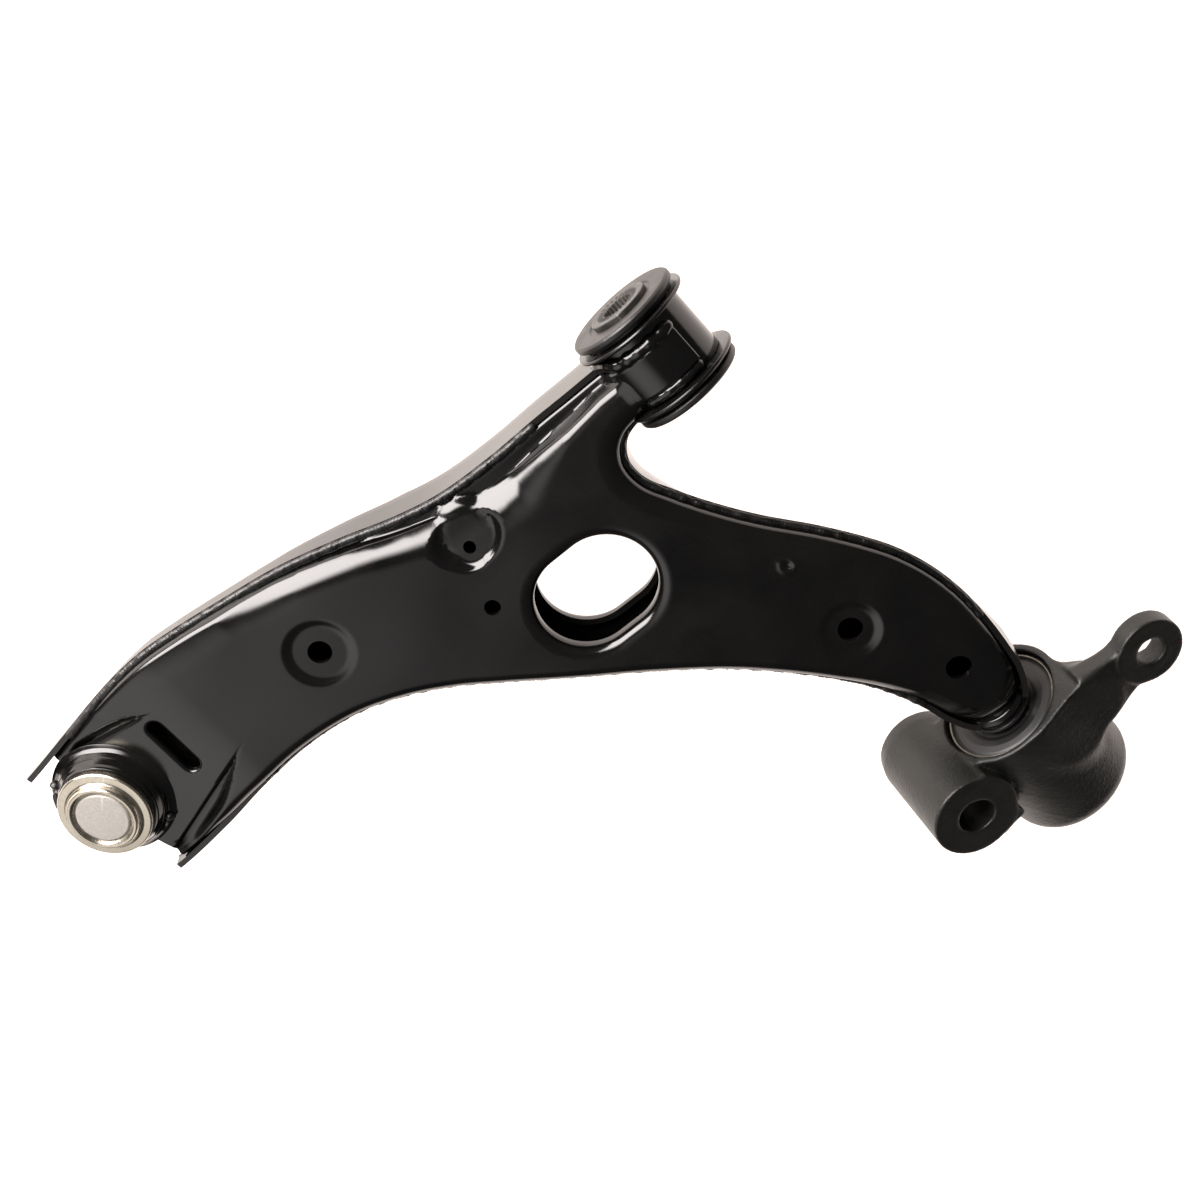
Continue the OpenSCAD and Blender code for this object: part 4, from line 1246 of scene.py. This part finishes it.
# ---------------------------------------------------------------- ball joint
def ball_joint():
    m = BALL_FRAME
    turned(
        "joint_housing",
        [(19.6, -15.0), (19.6, -12.6), (21.0, -12.6, 0.3), (21.0, 10.0),
         (FACE_R - 0.5, 10.1, 0.4), (FACE_R, 10.7, 0.5), (FACE_R, 13.3, 0.6),
         (FACE_R - 0.7, 14.0, 0.6), (18.9, 14.0, 1.0), (17.7, 14.7, 0.8),
         (17.3, 16.4, 1.2), (16.5, 17.6, 0.9), (15.2, 17.6, 0.7), (14.0, 16.8, 0.5),
         (13.7, 16.3, 0.3), (13.35, 16.2, 0.2), (13.3, 15.4), (15.0, 15.3), (15.0, 5.9),
         (17.2, 5.9), (17.2, -3.0), (16.8, -6.8), (15.3, -10.9), (13.6, -12.2),
         (17.6, -17.0, 0.4), (21.0, -17.0, 0.4), (21.0, -15.0, 0.2)],
        m, "arm", "zinc_steel", ["ball_housing"], count=192)
    turned(
        "joint_collar",
        [(21.05, -1.0), (25.5, -1.0), (25.5, 4.8, 2.4), (24.1, 7.6, 1.2), (23.7, 8.8, 0.6),
         (23.2, 9.8, 0.3), (21.05, 9.9)],
        m, "arm", "ecoat_black", ["ball_collar"], count=192)

    def uneven(r, z, angle):
        out = smooth((r - 25.6) / 3.0)
        wave = 0.5 * np.sin(3 * angle + 0.6) + 0.3 * np.sin(7 * angle) + 0.2 * np.sin(12 * angle)
        return r + 0.35 * out * wave, z + 0.10 * np.sin(9 * angle) * out

    turned(
        "collar_fillet",
        [(25.4, -1.2), (29.6, -1.2), (30.0, -0.2, 0.3), (28.4, 0.7, 1.6), (26.9, 2.0, 1.8),
         (25.9, 4.2, 1.6), (25.45, 5.4, 0.4)],
        m, "arm", "weld_black", ["collar_weld"], look="ecoat_black",
        count=192, arc=5, wobble=uneven)
    for k, (a, seed) in enumerate(((math.radians(38), 32), (math.radians(214), 33))):
        path = []
        for b in np.linspace(a - 0.09, a + 0.09, 8):
            path.append((27.6 * math.cos(b), 27.6 * math.sin(b), 1.5))
        points, faces = swept_bead(path, 2.5, seed, ripple=0.2, lumps=0.4)
        add_piece("collar_stop_%d" % k, place(points, m), faces, "arm", "weld_black",
                  (), 60)
    turned(
        "end_plate",
        [(0, 16.6), (12.2, 16.6, 0.3), (12.8, 16.3, 0.3), (13.1, 15.8, 0.2), (13.2, 15.3),
         (14.9, 15.3), (14.9, 14.0, 0.2), (0, 14.0)],
        m, "arm", "cap_steel", ["closing_plate"], closed=False, count=160)
    turned(
        "gaiter_base_ring",
        [(21.3, -15.0, 0.5), (21.3, -12.6, 0.5), (19.6, -12.6, 0.4), (19.6, -15.0, 0.4)],
        m, "arm", "spring_steel", ["boot_base_ring"])
    turned(
        "gaiter_neck_ring",
        [(8.05, -35.6, 0.4), (11.3, -35.6, 0.5), (11.3, -32.2, 0.5), (8.05, -32.2, 0.4)],
        m, "boot_neck", "spring_steel", ["boot_neck_ring"])
    turned(
        "joint_stud",
        [(0, 8.3), (7.2, 8.3, 0.4), (10.2, 5.4, 0.5), (12.4, 1.6), (13.15, -1.5),
         (13.25, -3.6), (12.7, -7.0), (11.2, -10.1), (9.3, -12.6, 1.5), (8.0, -15.5, 2.0),
         (8.0, -36.0, 1.0), (9.0, -39.0, 0.6), (9.0, -49.6), (8.0, -50.6, 1.0),
         (6.9, -52.4, 1.2), (6.5, -54.0, 1.2), (6.9, -55.6, 1.2), (8.0, -57.4, 1.0),
         (9.0, -58.4), (9.0, -69.0, 0.6), (7.5, -71.0, 0.6), (0, -71.0)],
        m, "stud", "stud_steel", ["ball_stud"], closed=False, count=128)


ball_joint()


def split_gaiter():
    """Rubber gaiter in two rings, upper and lower, baked in place on no body."""
    m = BALL_FRAME
    high = [(23.4, -12.0, 0.5), (24.0, -14.2, 0.6), (23.6, -15.3, 0.6), (25.6, -16.6, 1.0),
            (26.9, -18.8, 1.5), (27.0, -20.6, 1.0), (26.6, -22.4), (24.2, -22.4),
            (24.7, -20.4, 1.0), (24.3, -18.8, 1.0), (22.4, -16.6, 1.0), (21.4, -15.4, 0.4),
            (21.4, -12.0, 0.4)]
    low = [(26.6, -22.4), (25.8, -24.6, 1.2), (23.6, -26.6, 1.2), (21.8, -27.2, 0.8),
           (20.6, -28.8, 0.9), (18.6, -30.0, 0.9), (16.8, -30.4, 0.8), (15.6, -31.8, 0.8),
           (14.2, -32.8, 0.8), (13.5, -35.4, 0.5), (11.5, -35.6, 0.4), (11.5, -31.8, 0.5),
           (15.2, -29.2, 0.9), (18.4, -27.4, 0.9), (22.2, -24.8, 1.2), (24.2, -22.4)]
    points, faces = lathe(high, m, count=96)
    piece = add_piece("gaiter_upper", points, faces, None, "boot_rubber",
                      ["dust_boot"], 50)
    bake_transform(piece)
    points, faces = lathe(low, m, count=96)
    piece = add_piece("gaiter_lower", points, faces, None, "boot_rubber", (), 50)
    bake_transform(piece)


split_gaiter()


# ---------------------------------------------------------------- rear bush
def rear_bush():
    m = BRACKET_FRAME
    turned(
        "pin",
        [(0, -BUSH_LEN), (9.4, -BUSH_LEN, 0.5), (10.0, 0.6 - BUSH_LEN, 0.4), (10.0, 0.3, 0.4),
         (10.8, 0.5, 0.4), (10.8, 9.0, 0.4), (0, 9.0)],
        m, "arm", "ecoat_black", ["rear_pin"], closed=False)
    turned(
        "pin_bead",
        [(10.85, 5.2), (13.6, 5.0, 1.0), (15.2, 3.4, 1.2), (15.7, 1.4, 0.9), (15.2, 0.25, 0.3),
         (10.85, 0.2)],
        m, "arm", "weld_black", ["pin_weld"], look="gloss_weld", arc=5)
    turned(
        "bush_core",
        [(10.0, -BUSH_LEN), (13.0, -BUSH_LEN, 0.3), (13.0, -2.0), (15.0, -2.0, 0.3),
         (15.5, -1.5, 0.3), (15.5, -0.4, 0.3), (15.0, 0.0, 0.3), (10.0, 0.0)],
        m, "arm", "core_steel", ["rear_bush_core"])
    turned(
        "bush_body",
        [(13.05, -BUSH_LEN), (26.3, -BUSH_LEN), (26.3, -4.2, 0.4), (24.6, -3.4, 0.8),
         (21.6, -3.0, 1.2), (18.4, -3.3, 1.0), (16.4, -4.0, 0.6), (13.05, -4.0)],
        m, "rear_bracket", "boot_rubber", ["rear_rubber"], look="dark_rubber",
        count=144)
    turned(
        "bush_shell",
        [(26.3, -BUSH_LEN - 4), (27.5, -BUSH_LEN - 4), (27.5, -3.0, 0.3), (27.0, -2.6, 0.2),
         (26.5, -2.8, 0.2), (26.3, -3.3)],
        m, "rear_bracket", "can_steel", ["rear_can"], count=144)
    turned(
        "bush_sheath",
        [(27.5, -BUSH_LEN - 4), (28.6, -BUSH_LEN - 4), (28.6, -5.4, 0.2), (28.0, -5.1, 0.2),
         (27.5, -5.4, 0.2)],
        m, "rear_bracket", "boot_rubber", ["rear_outer_rubber"], count=144)


rear_bush()


# ---------------------------------------------------------------- cast bracket
POT_R = 31.6
POT_BORE = 28.6
POT_LEN = 72.0
BOSS_Y = 42.5
BOSS_R = 21.5
BOSS_L = 60.0
EAR_Y = -65.5
EAR_R = 16.5
EAR_L = 10.0
BOLT_Z = -15.5
NEAR_X = -28.5


def rod_field(p, centre, axis, radius, half, edge):
    """Signed distance to a rounded cylinder along a coordinate axis."""
    other = [k for k in range(3) if k != axis]
    q = p - np.array(centre, float)
    a = np.hypot(q[:, other[0]], q[:, other[1]]) - radius + edge
    b = np.abs(q[:, axis]) - half + edge
    outside = np.hypot(np.maximum(a, 0), np.maximum(b, 0))
    return outside + np.minimum(np.maximum(a, b), 0) - edge


def box_field(p, centre, half, edge):
    q = np.abs(p - np.array(centre, float)) - np.array(half, float) + edge
    return np.linalg.norm(np.maximum(q, 0), axis=1) + np.minimum(q.max(1), 0) - edge


def plate_field(p, a, b, ra, rb, x0, x1, edge):
    """Tapered bar in the y-z plane, from circle a to circle b, between x0 and x1."""
    a, b = np.array(a, float), np.array(b, float)
    q = p[:, 1:] - a
    ab = b - a
    t = np.clip((q @ ab) / (ab @ ab), 0, 1)
    flat = np.linalg.norm(q - t[:, None] * ab, axis=1) - (ra + (rb - ra) * t) + edge
    high = np.abs(p[:, 0] - (x0 + x1) / 2) - abs(x1 - x0) / 2 + edge
    outside = np.hypot(np.maximum(flat, 0), np.maximum(high, 0))
    return outside + np.minimum(np.maximum(flat, high), 0) - edge


def casting_field(p):
    """Signed distance to the cast bracket, in its own frame."""
    pot = rod_field(p, (0, 0, -POT_LEN / 2 + 8), 2, POT_R, POT_LEN / 2 + 8, 11.0)
    pot = soft_max(pot, p[:, 2], 1.0)
    half = BOSS_L / 2
    boss = rod_field(p, (NEAR_X + half, BOSS_Y, BOLT_Z), 0, BOSS_R, half, 1.2)
    taper = np.hypot(p[:, 1] - BOSS_Y, p[:, 2] - BOLT_Z) - BOSS_R
    taper = taper + 0.25 * np.maximum(p[:, 0] - NEAR_X - BOSS_L + 8, 0)
    boss = soft_max(boss, taper, 1.0)
    web = box_field(p, (NEAR_X + 23.0, 33.0, BOLT_Z - 2.5), (23.0, 7.0, 18.5), 1.6)
    root = box_field(p, (NEAR_X + 28.0, 21.0, BOLT_Z - 2.5), (18.0, 7.5, 16.0), 2.5)
    ear = rod_field(p, (NEAR_X + EAR_L / 2, EAR_Y, BOLT_Z), 0, EAR_R, EAR_L / 2, 0.9)
    arm = plate_field(
        p, (EAR_Y, BOLT_Z), (-20, BOLT_Z), 10.0, 18.0, NEAR_X + 1.2, NEAR_X + 11.5, 2.0)
    flare = plate_field(
        p, (EAR_Y + 36, BOLT_Z), (-20, BOLT_Z), 14.0, 20.0, NEAR_X + 2.0, NEAR_X + 20, 3.0)
    body = soft_min(pot, soft_min(web, root, 2.5), 2.5)
    body = soft_min(body, boss, 1.6)
    limb = soft_max(soft_min(soft_min(arm, ear, 3.0), flare, 9.0), NEAR_X - p[:, 0], 0.4)
    body = soft_min(body, limb, 10.0)
    relief = 14.0 * smooth((-p[:, 1] - 31) / 12) + 14.0 * (p[:, 1] > 24)
    body = soft_max(body, p[:, 2] - relief, 0.8)
    # near faces of boss and ear, and the pot's rim, are machined flat
    near_bolt = smooth((25.0 - np.abs(p[:, 1] - BOSS_Y)) / 2.0)
    near_bolt = np.maximum(near_bolt, smooth((18.0 - np.abs(p[:, 1] - EAR_Y)) / 2.0))
    faced = near_bolt * (1 - smooth((p[:, 0] - NEAR_X - 0.4) / 0.8))
    rim = smooth((p[:, 2] + 1.1) / 0.8) * (np.hypot(p[:, 0], p[:, 1]) < POT_R + 2)
    rough = 0.03 * wave_noise(p, 7.0, 61) + 0.02 * wave_noise(p, 2.6, 62)
    body = body + rough * (1 - faced) * (1 - rim)
    bore = rod_field(p, (0, 0, 20), 2, POT_BORE, 82.0, 1.5)
    body = soft_max(body, -bore, 1.0)
    hole = np.hypot(p[:, 1] - BOSS_Y, p[:, 2] - BOLT_Z) - 8.9
    body = soft_max(body, -hole, 0.9)
    hole = np.maximum(
        np.hypot(p[:, 1] - EAR_Y, p[:, 2] - BOLT_Z) - 7.0, p[:, 0] - NEAR_X - EAR_L - 12)
    return soft_max(body, -hole, 0.9)


def cast_bracket():
    step = 1.0
    low = (-POT_R - 3.5, EAR_Y - EAR_R - 3.5, -POT_LEN - 3.5)
    high = (POT_R + 3.5, BOSS_Y + BOSS_R + 3.5, 10.0)
    points, faces = surface_nets(casting_field, low, high, step)
    add_piece(
        "bracket_casting", place(points, BRACKET_FRAME), faces, "rear_bracket", "cast_black",
        ["rear_bracket"], sharp=60)


cast_bracket()

for entry in frame["record"]["materials"]:
    for node in entry.get("nodes", []):
        piece = frame["nodes"].get(node)
        if piece and entry["slot"] in MATERIALS:
            piece.data.materials.clear()
            piece.data.materials.append(MATERIALS[entry["slot"]])


# ---------------------------------------------------------------- studio
RIGHT = Vector((-0.6521, -0.7581, 0.0))
UP = Vector((0.6871, -0.5910, -0.4226))
BACK = Vector((0.3204, -0.2756, 0.9063))
CAMERA_AT = Vector((0.245627, -0.180264, 0.906308))
CENTRE = Vector((-0.090, 0.110, 0.0))
FLOOR_GAP = 0.004
FOCAL_PIXELS = 2222.0
FRAME_PIXELS = 1200.0
SENSOR = 36.0


def from_view(x, y, z):
    """A direction given as right, up and towards the camera, in the row frame."""
    return (RIGHT * x + UP * y + BACK * z).normalized()


KEY_DEPTH = 0.88
KEY_SLANT = (-0.37, -0.20)
KEY_EDGE = (-0.04, 0.05)
KEY_RUN = (0.20, 0.55, 1.90, 2.30)
KEY_SKEW = 0.62
KEY_LEVEL = 20.0
KEY_LEAN = math.radians(45)


def key_card():
    """Large soft light card up and to the left of the view, brightest away from its edges."""
    along = -math.cos(KEY_LEAN) * RIGHT + math.sin(KEY_LEAN) * UP
    across = math.sin(KEY_LEAN) * RIGHT + math.cos(KEY_LEAN) * UP
    bm = bmesh.new()
    cells = [
        [bm.verts.new((x, y, 0)) for x in np.linspace(KEY_SLANT[0] - KEY_SKEW * y, KEY_EDGE[1], 9)]
        for y in np.linspace(KEY_RUN[0], KEY_RUN[3], 25)]
    for a, b in zip(cells, cells[1:]):
        for k in range(8):
            bm.faces.new((a[k], a[k + 1], b[k + 1], b[k]))
    mesh = bpy.data.meshes.new("key_card")
    bm.to_mesh(mesh)
    bm.free()
    material, tree, shader = nodes_of("key_glow")
    split = tree.nodes.new("ShaderNodeSeparateXYZ")
    tree.links.new(tree.nodes.new("ShaderNodeTexCoord").outputs["Object"], split.inputs[0])
    glow = KEY_LEVEL
    slant = maths(tree, "MULTIPLY", split.outputs["Y"], KEY_SKEW)
    slant = maths(tree, "ADD", split.outputs["X"], slant)
    steps = (
        (slant, KEY_SLANT[0], KEY_SLANT[1]), (split.outputs["X"], KEY_EDGE[1], KEY_EDGE[0]),
        (split.outputs["Y"], KEY_RUN[0], KEY_RUN[1]), (split.outputs["Y"], KEY_RUN[3], KEY_RUN[2]))
    for value, dark, bright in steps:
        glow = maths(tree, "MULTIPLY", soft_step(tree, value, dark, bright, 0, 1), glow)
    shader.inputs["Base Color"].default_value = (0, 0, 0, 1)
    shader.inputs["Emission Color"].default_value = (1.0, 0.945, 0.93, 1)
    tree.links.new(glow, shader.inputs["Emission Strength"])
    card = link_mesh("key_card", mesh, material)
    turn = Matrix((across, along, across.cross(along))).transposed().to_4x4()
    card.matrix_world = Matrix.Translation(CENTRE + BACK * KEY_DEPTH) @ turn


def toward(tree, coord, direction):
    """Cosine between the ray and a direction."""
    return add_node(
        tree, "VectorMath", {0: coord, 1: direction}, operation="DOT_PRODUCT").outputs["Value"]


def studio():
    data = bpy.data.cameras.new("photo_camera")
    data.lens = FOCAL_PIXELS / FRAME_PIXELS * SENSOR
    data.sensor_width = SENSOR
    data.clip_start = 0.01
    camera = bpy.data.objects.new("photo_camera", data)
    bpy.context.scene.collection.objects.link(camera)
    turn = Matrix((RIGHT, UP, BACK)).transposed().to_4x4()
    camera.matrix_world = Matrix.Translation(CAMERA_AT) @ turn
    bpy.context.scene.camera = camera

    bm = bmesh.new()
    bmesh.ops.create_grid(bm, x_segments=8, y_segments=8, size=2.5)
    mesh = bpy.data.meshes.new("floor")
    bm.to_mesh(mesh)
    bm.free()
    material, tree, shader = nodes_of("glowing_pale_floor")
    shader.inputs["Base Color"].default_value = (0.40, 0.38, 0.36, 1)
    shader.inputs["Roughness"].default_value = 0.9
    # painted light: the floor glows warm white, strongest within 0.75 m of its middle and fading
    # out by 2.1 m, a painted pool of light that also washes out the part's shadows on it
    shader.inputs["Emission Color"].default_value = (1.0, 0.89, 0.83, 1)
    spot = tree.nodes.new("ShaderNodeTexCoord").outputs["Object"]
    far = add_node(tree, "VectorMath", {0: spot}, operation="LENGTH")
    glow = soft_step(tree, far.outputs["Value"], 0.75, 2.1, 1.28, 0.12)
    tree.links.new(glow, shader.inputs["Emission Strength"])
    floor = link_mesh("floor", mesh, material)
    floor.location = (CENTRE.x, CENTRE.y, CAD_BOX[0][2] - FLOOR_GAP)

    world = bpy.data.worlds.new("studio")
    bpy.context.scene.world = world
    world.use_nodes = True
    tree = world.node_tree
    back = tree.nodes["Background"]
    coord = tree.nodes.new("ShaderNodeTexCoord").outputs["Generated"]
    total = None
    # direction, cosine where the panel fades out, cosine of its core, level
    panels = (
        ((-0.55, -0.70, 0.45), 0.80, 0.985, 1.5),
        ((0.0, 0.0, 1.0), -1.0, 1.0, 0.10),
    )
    for direction, edge, core, level in panels:
        facing = toward(tree, coord, from_view(*direction))
        glow = soft_step(tree, facing, edge, core, 0.02, level)
        total = glow if total is None else maths(tree, "ADD", total, glow)
    tree.links.new(total, back.inputs["Strength"])
    back.inputs["Color"].default_value = (1.0, 0.955, 0.935, 1)
    key_card()
    view = bpy.context.scene.view_settings
    view.view_transform = "Standard"
    view.look = "None"


studio()
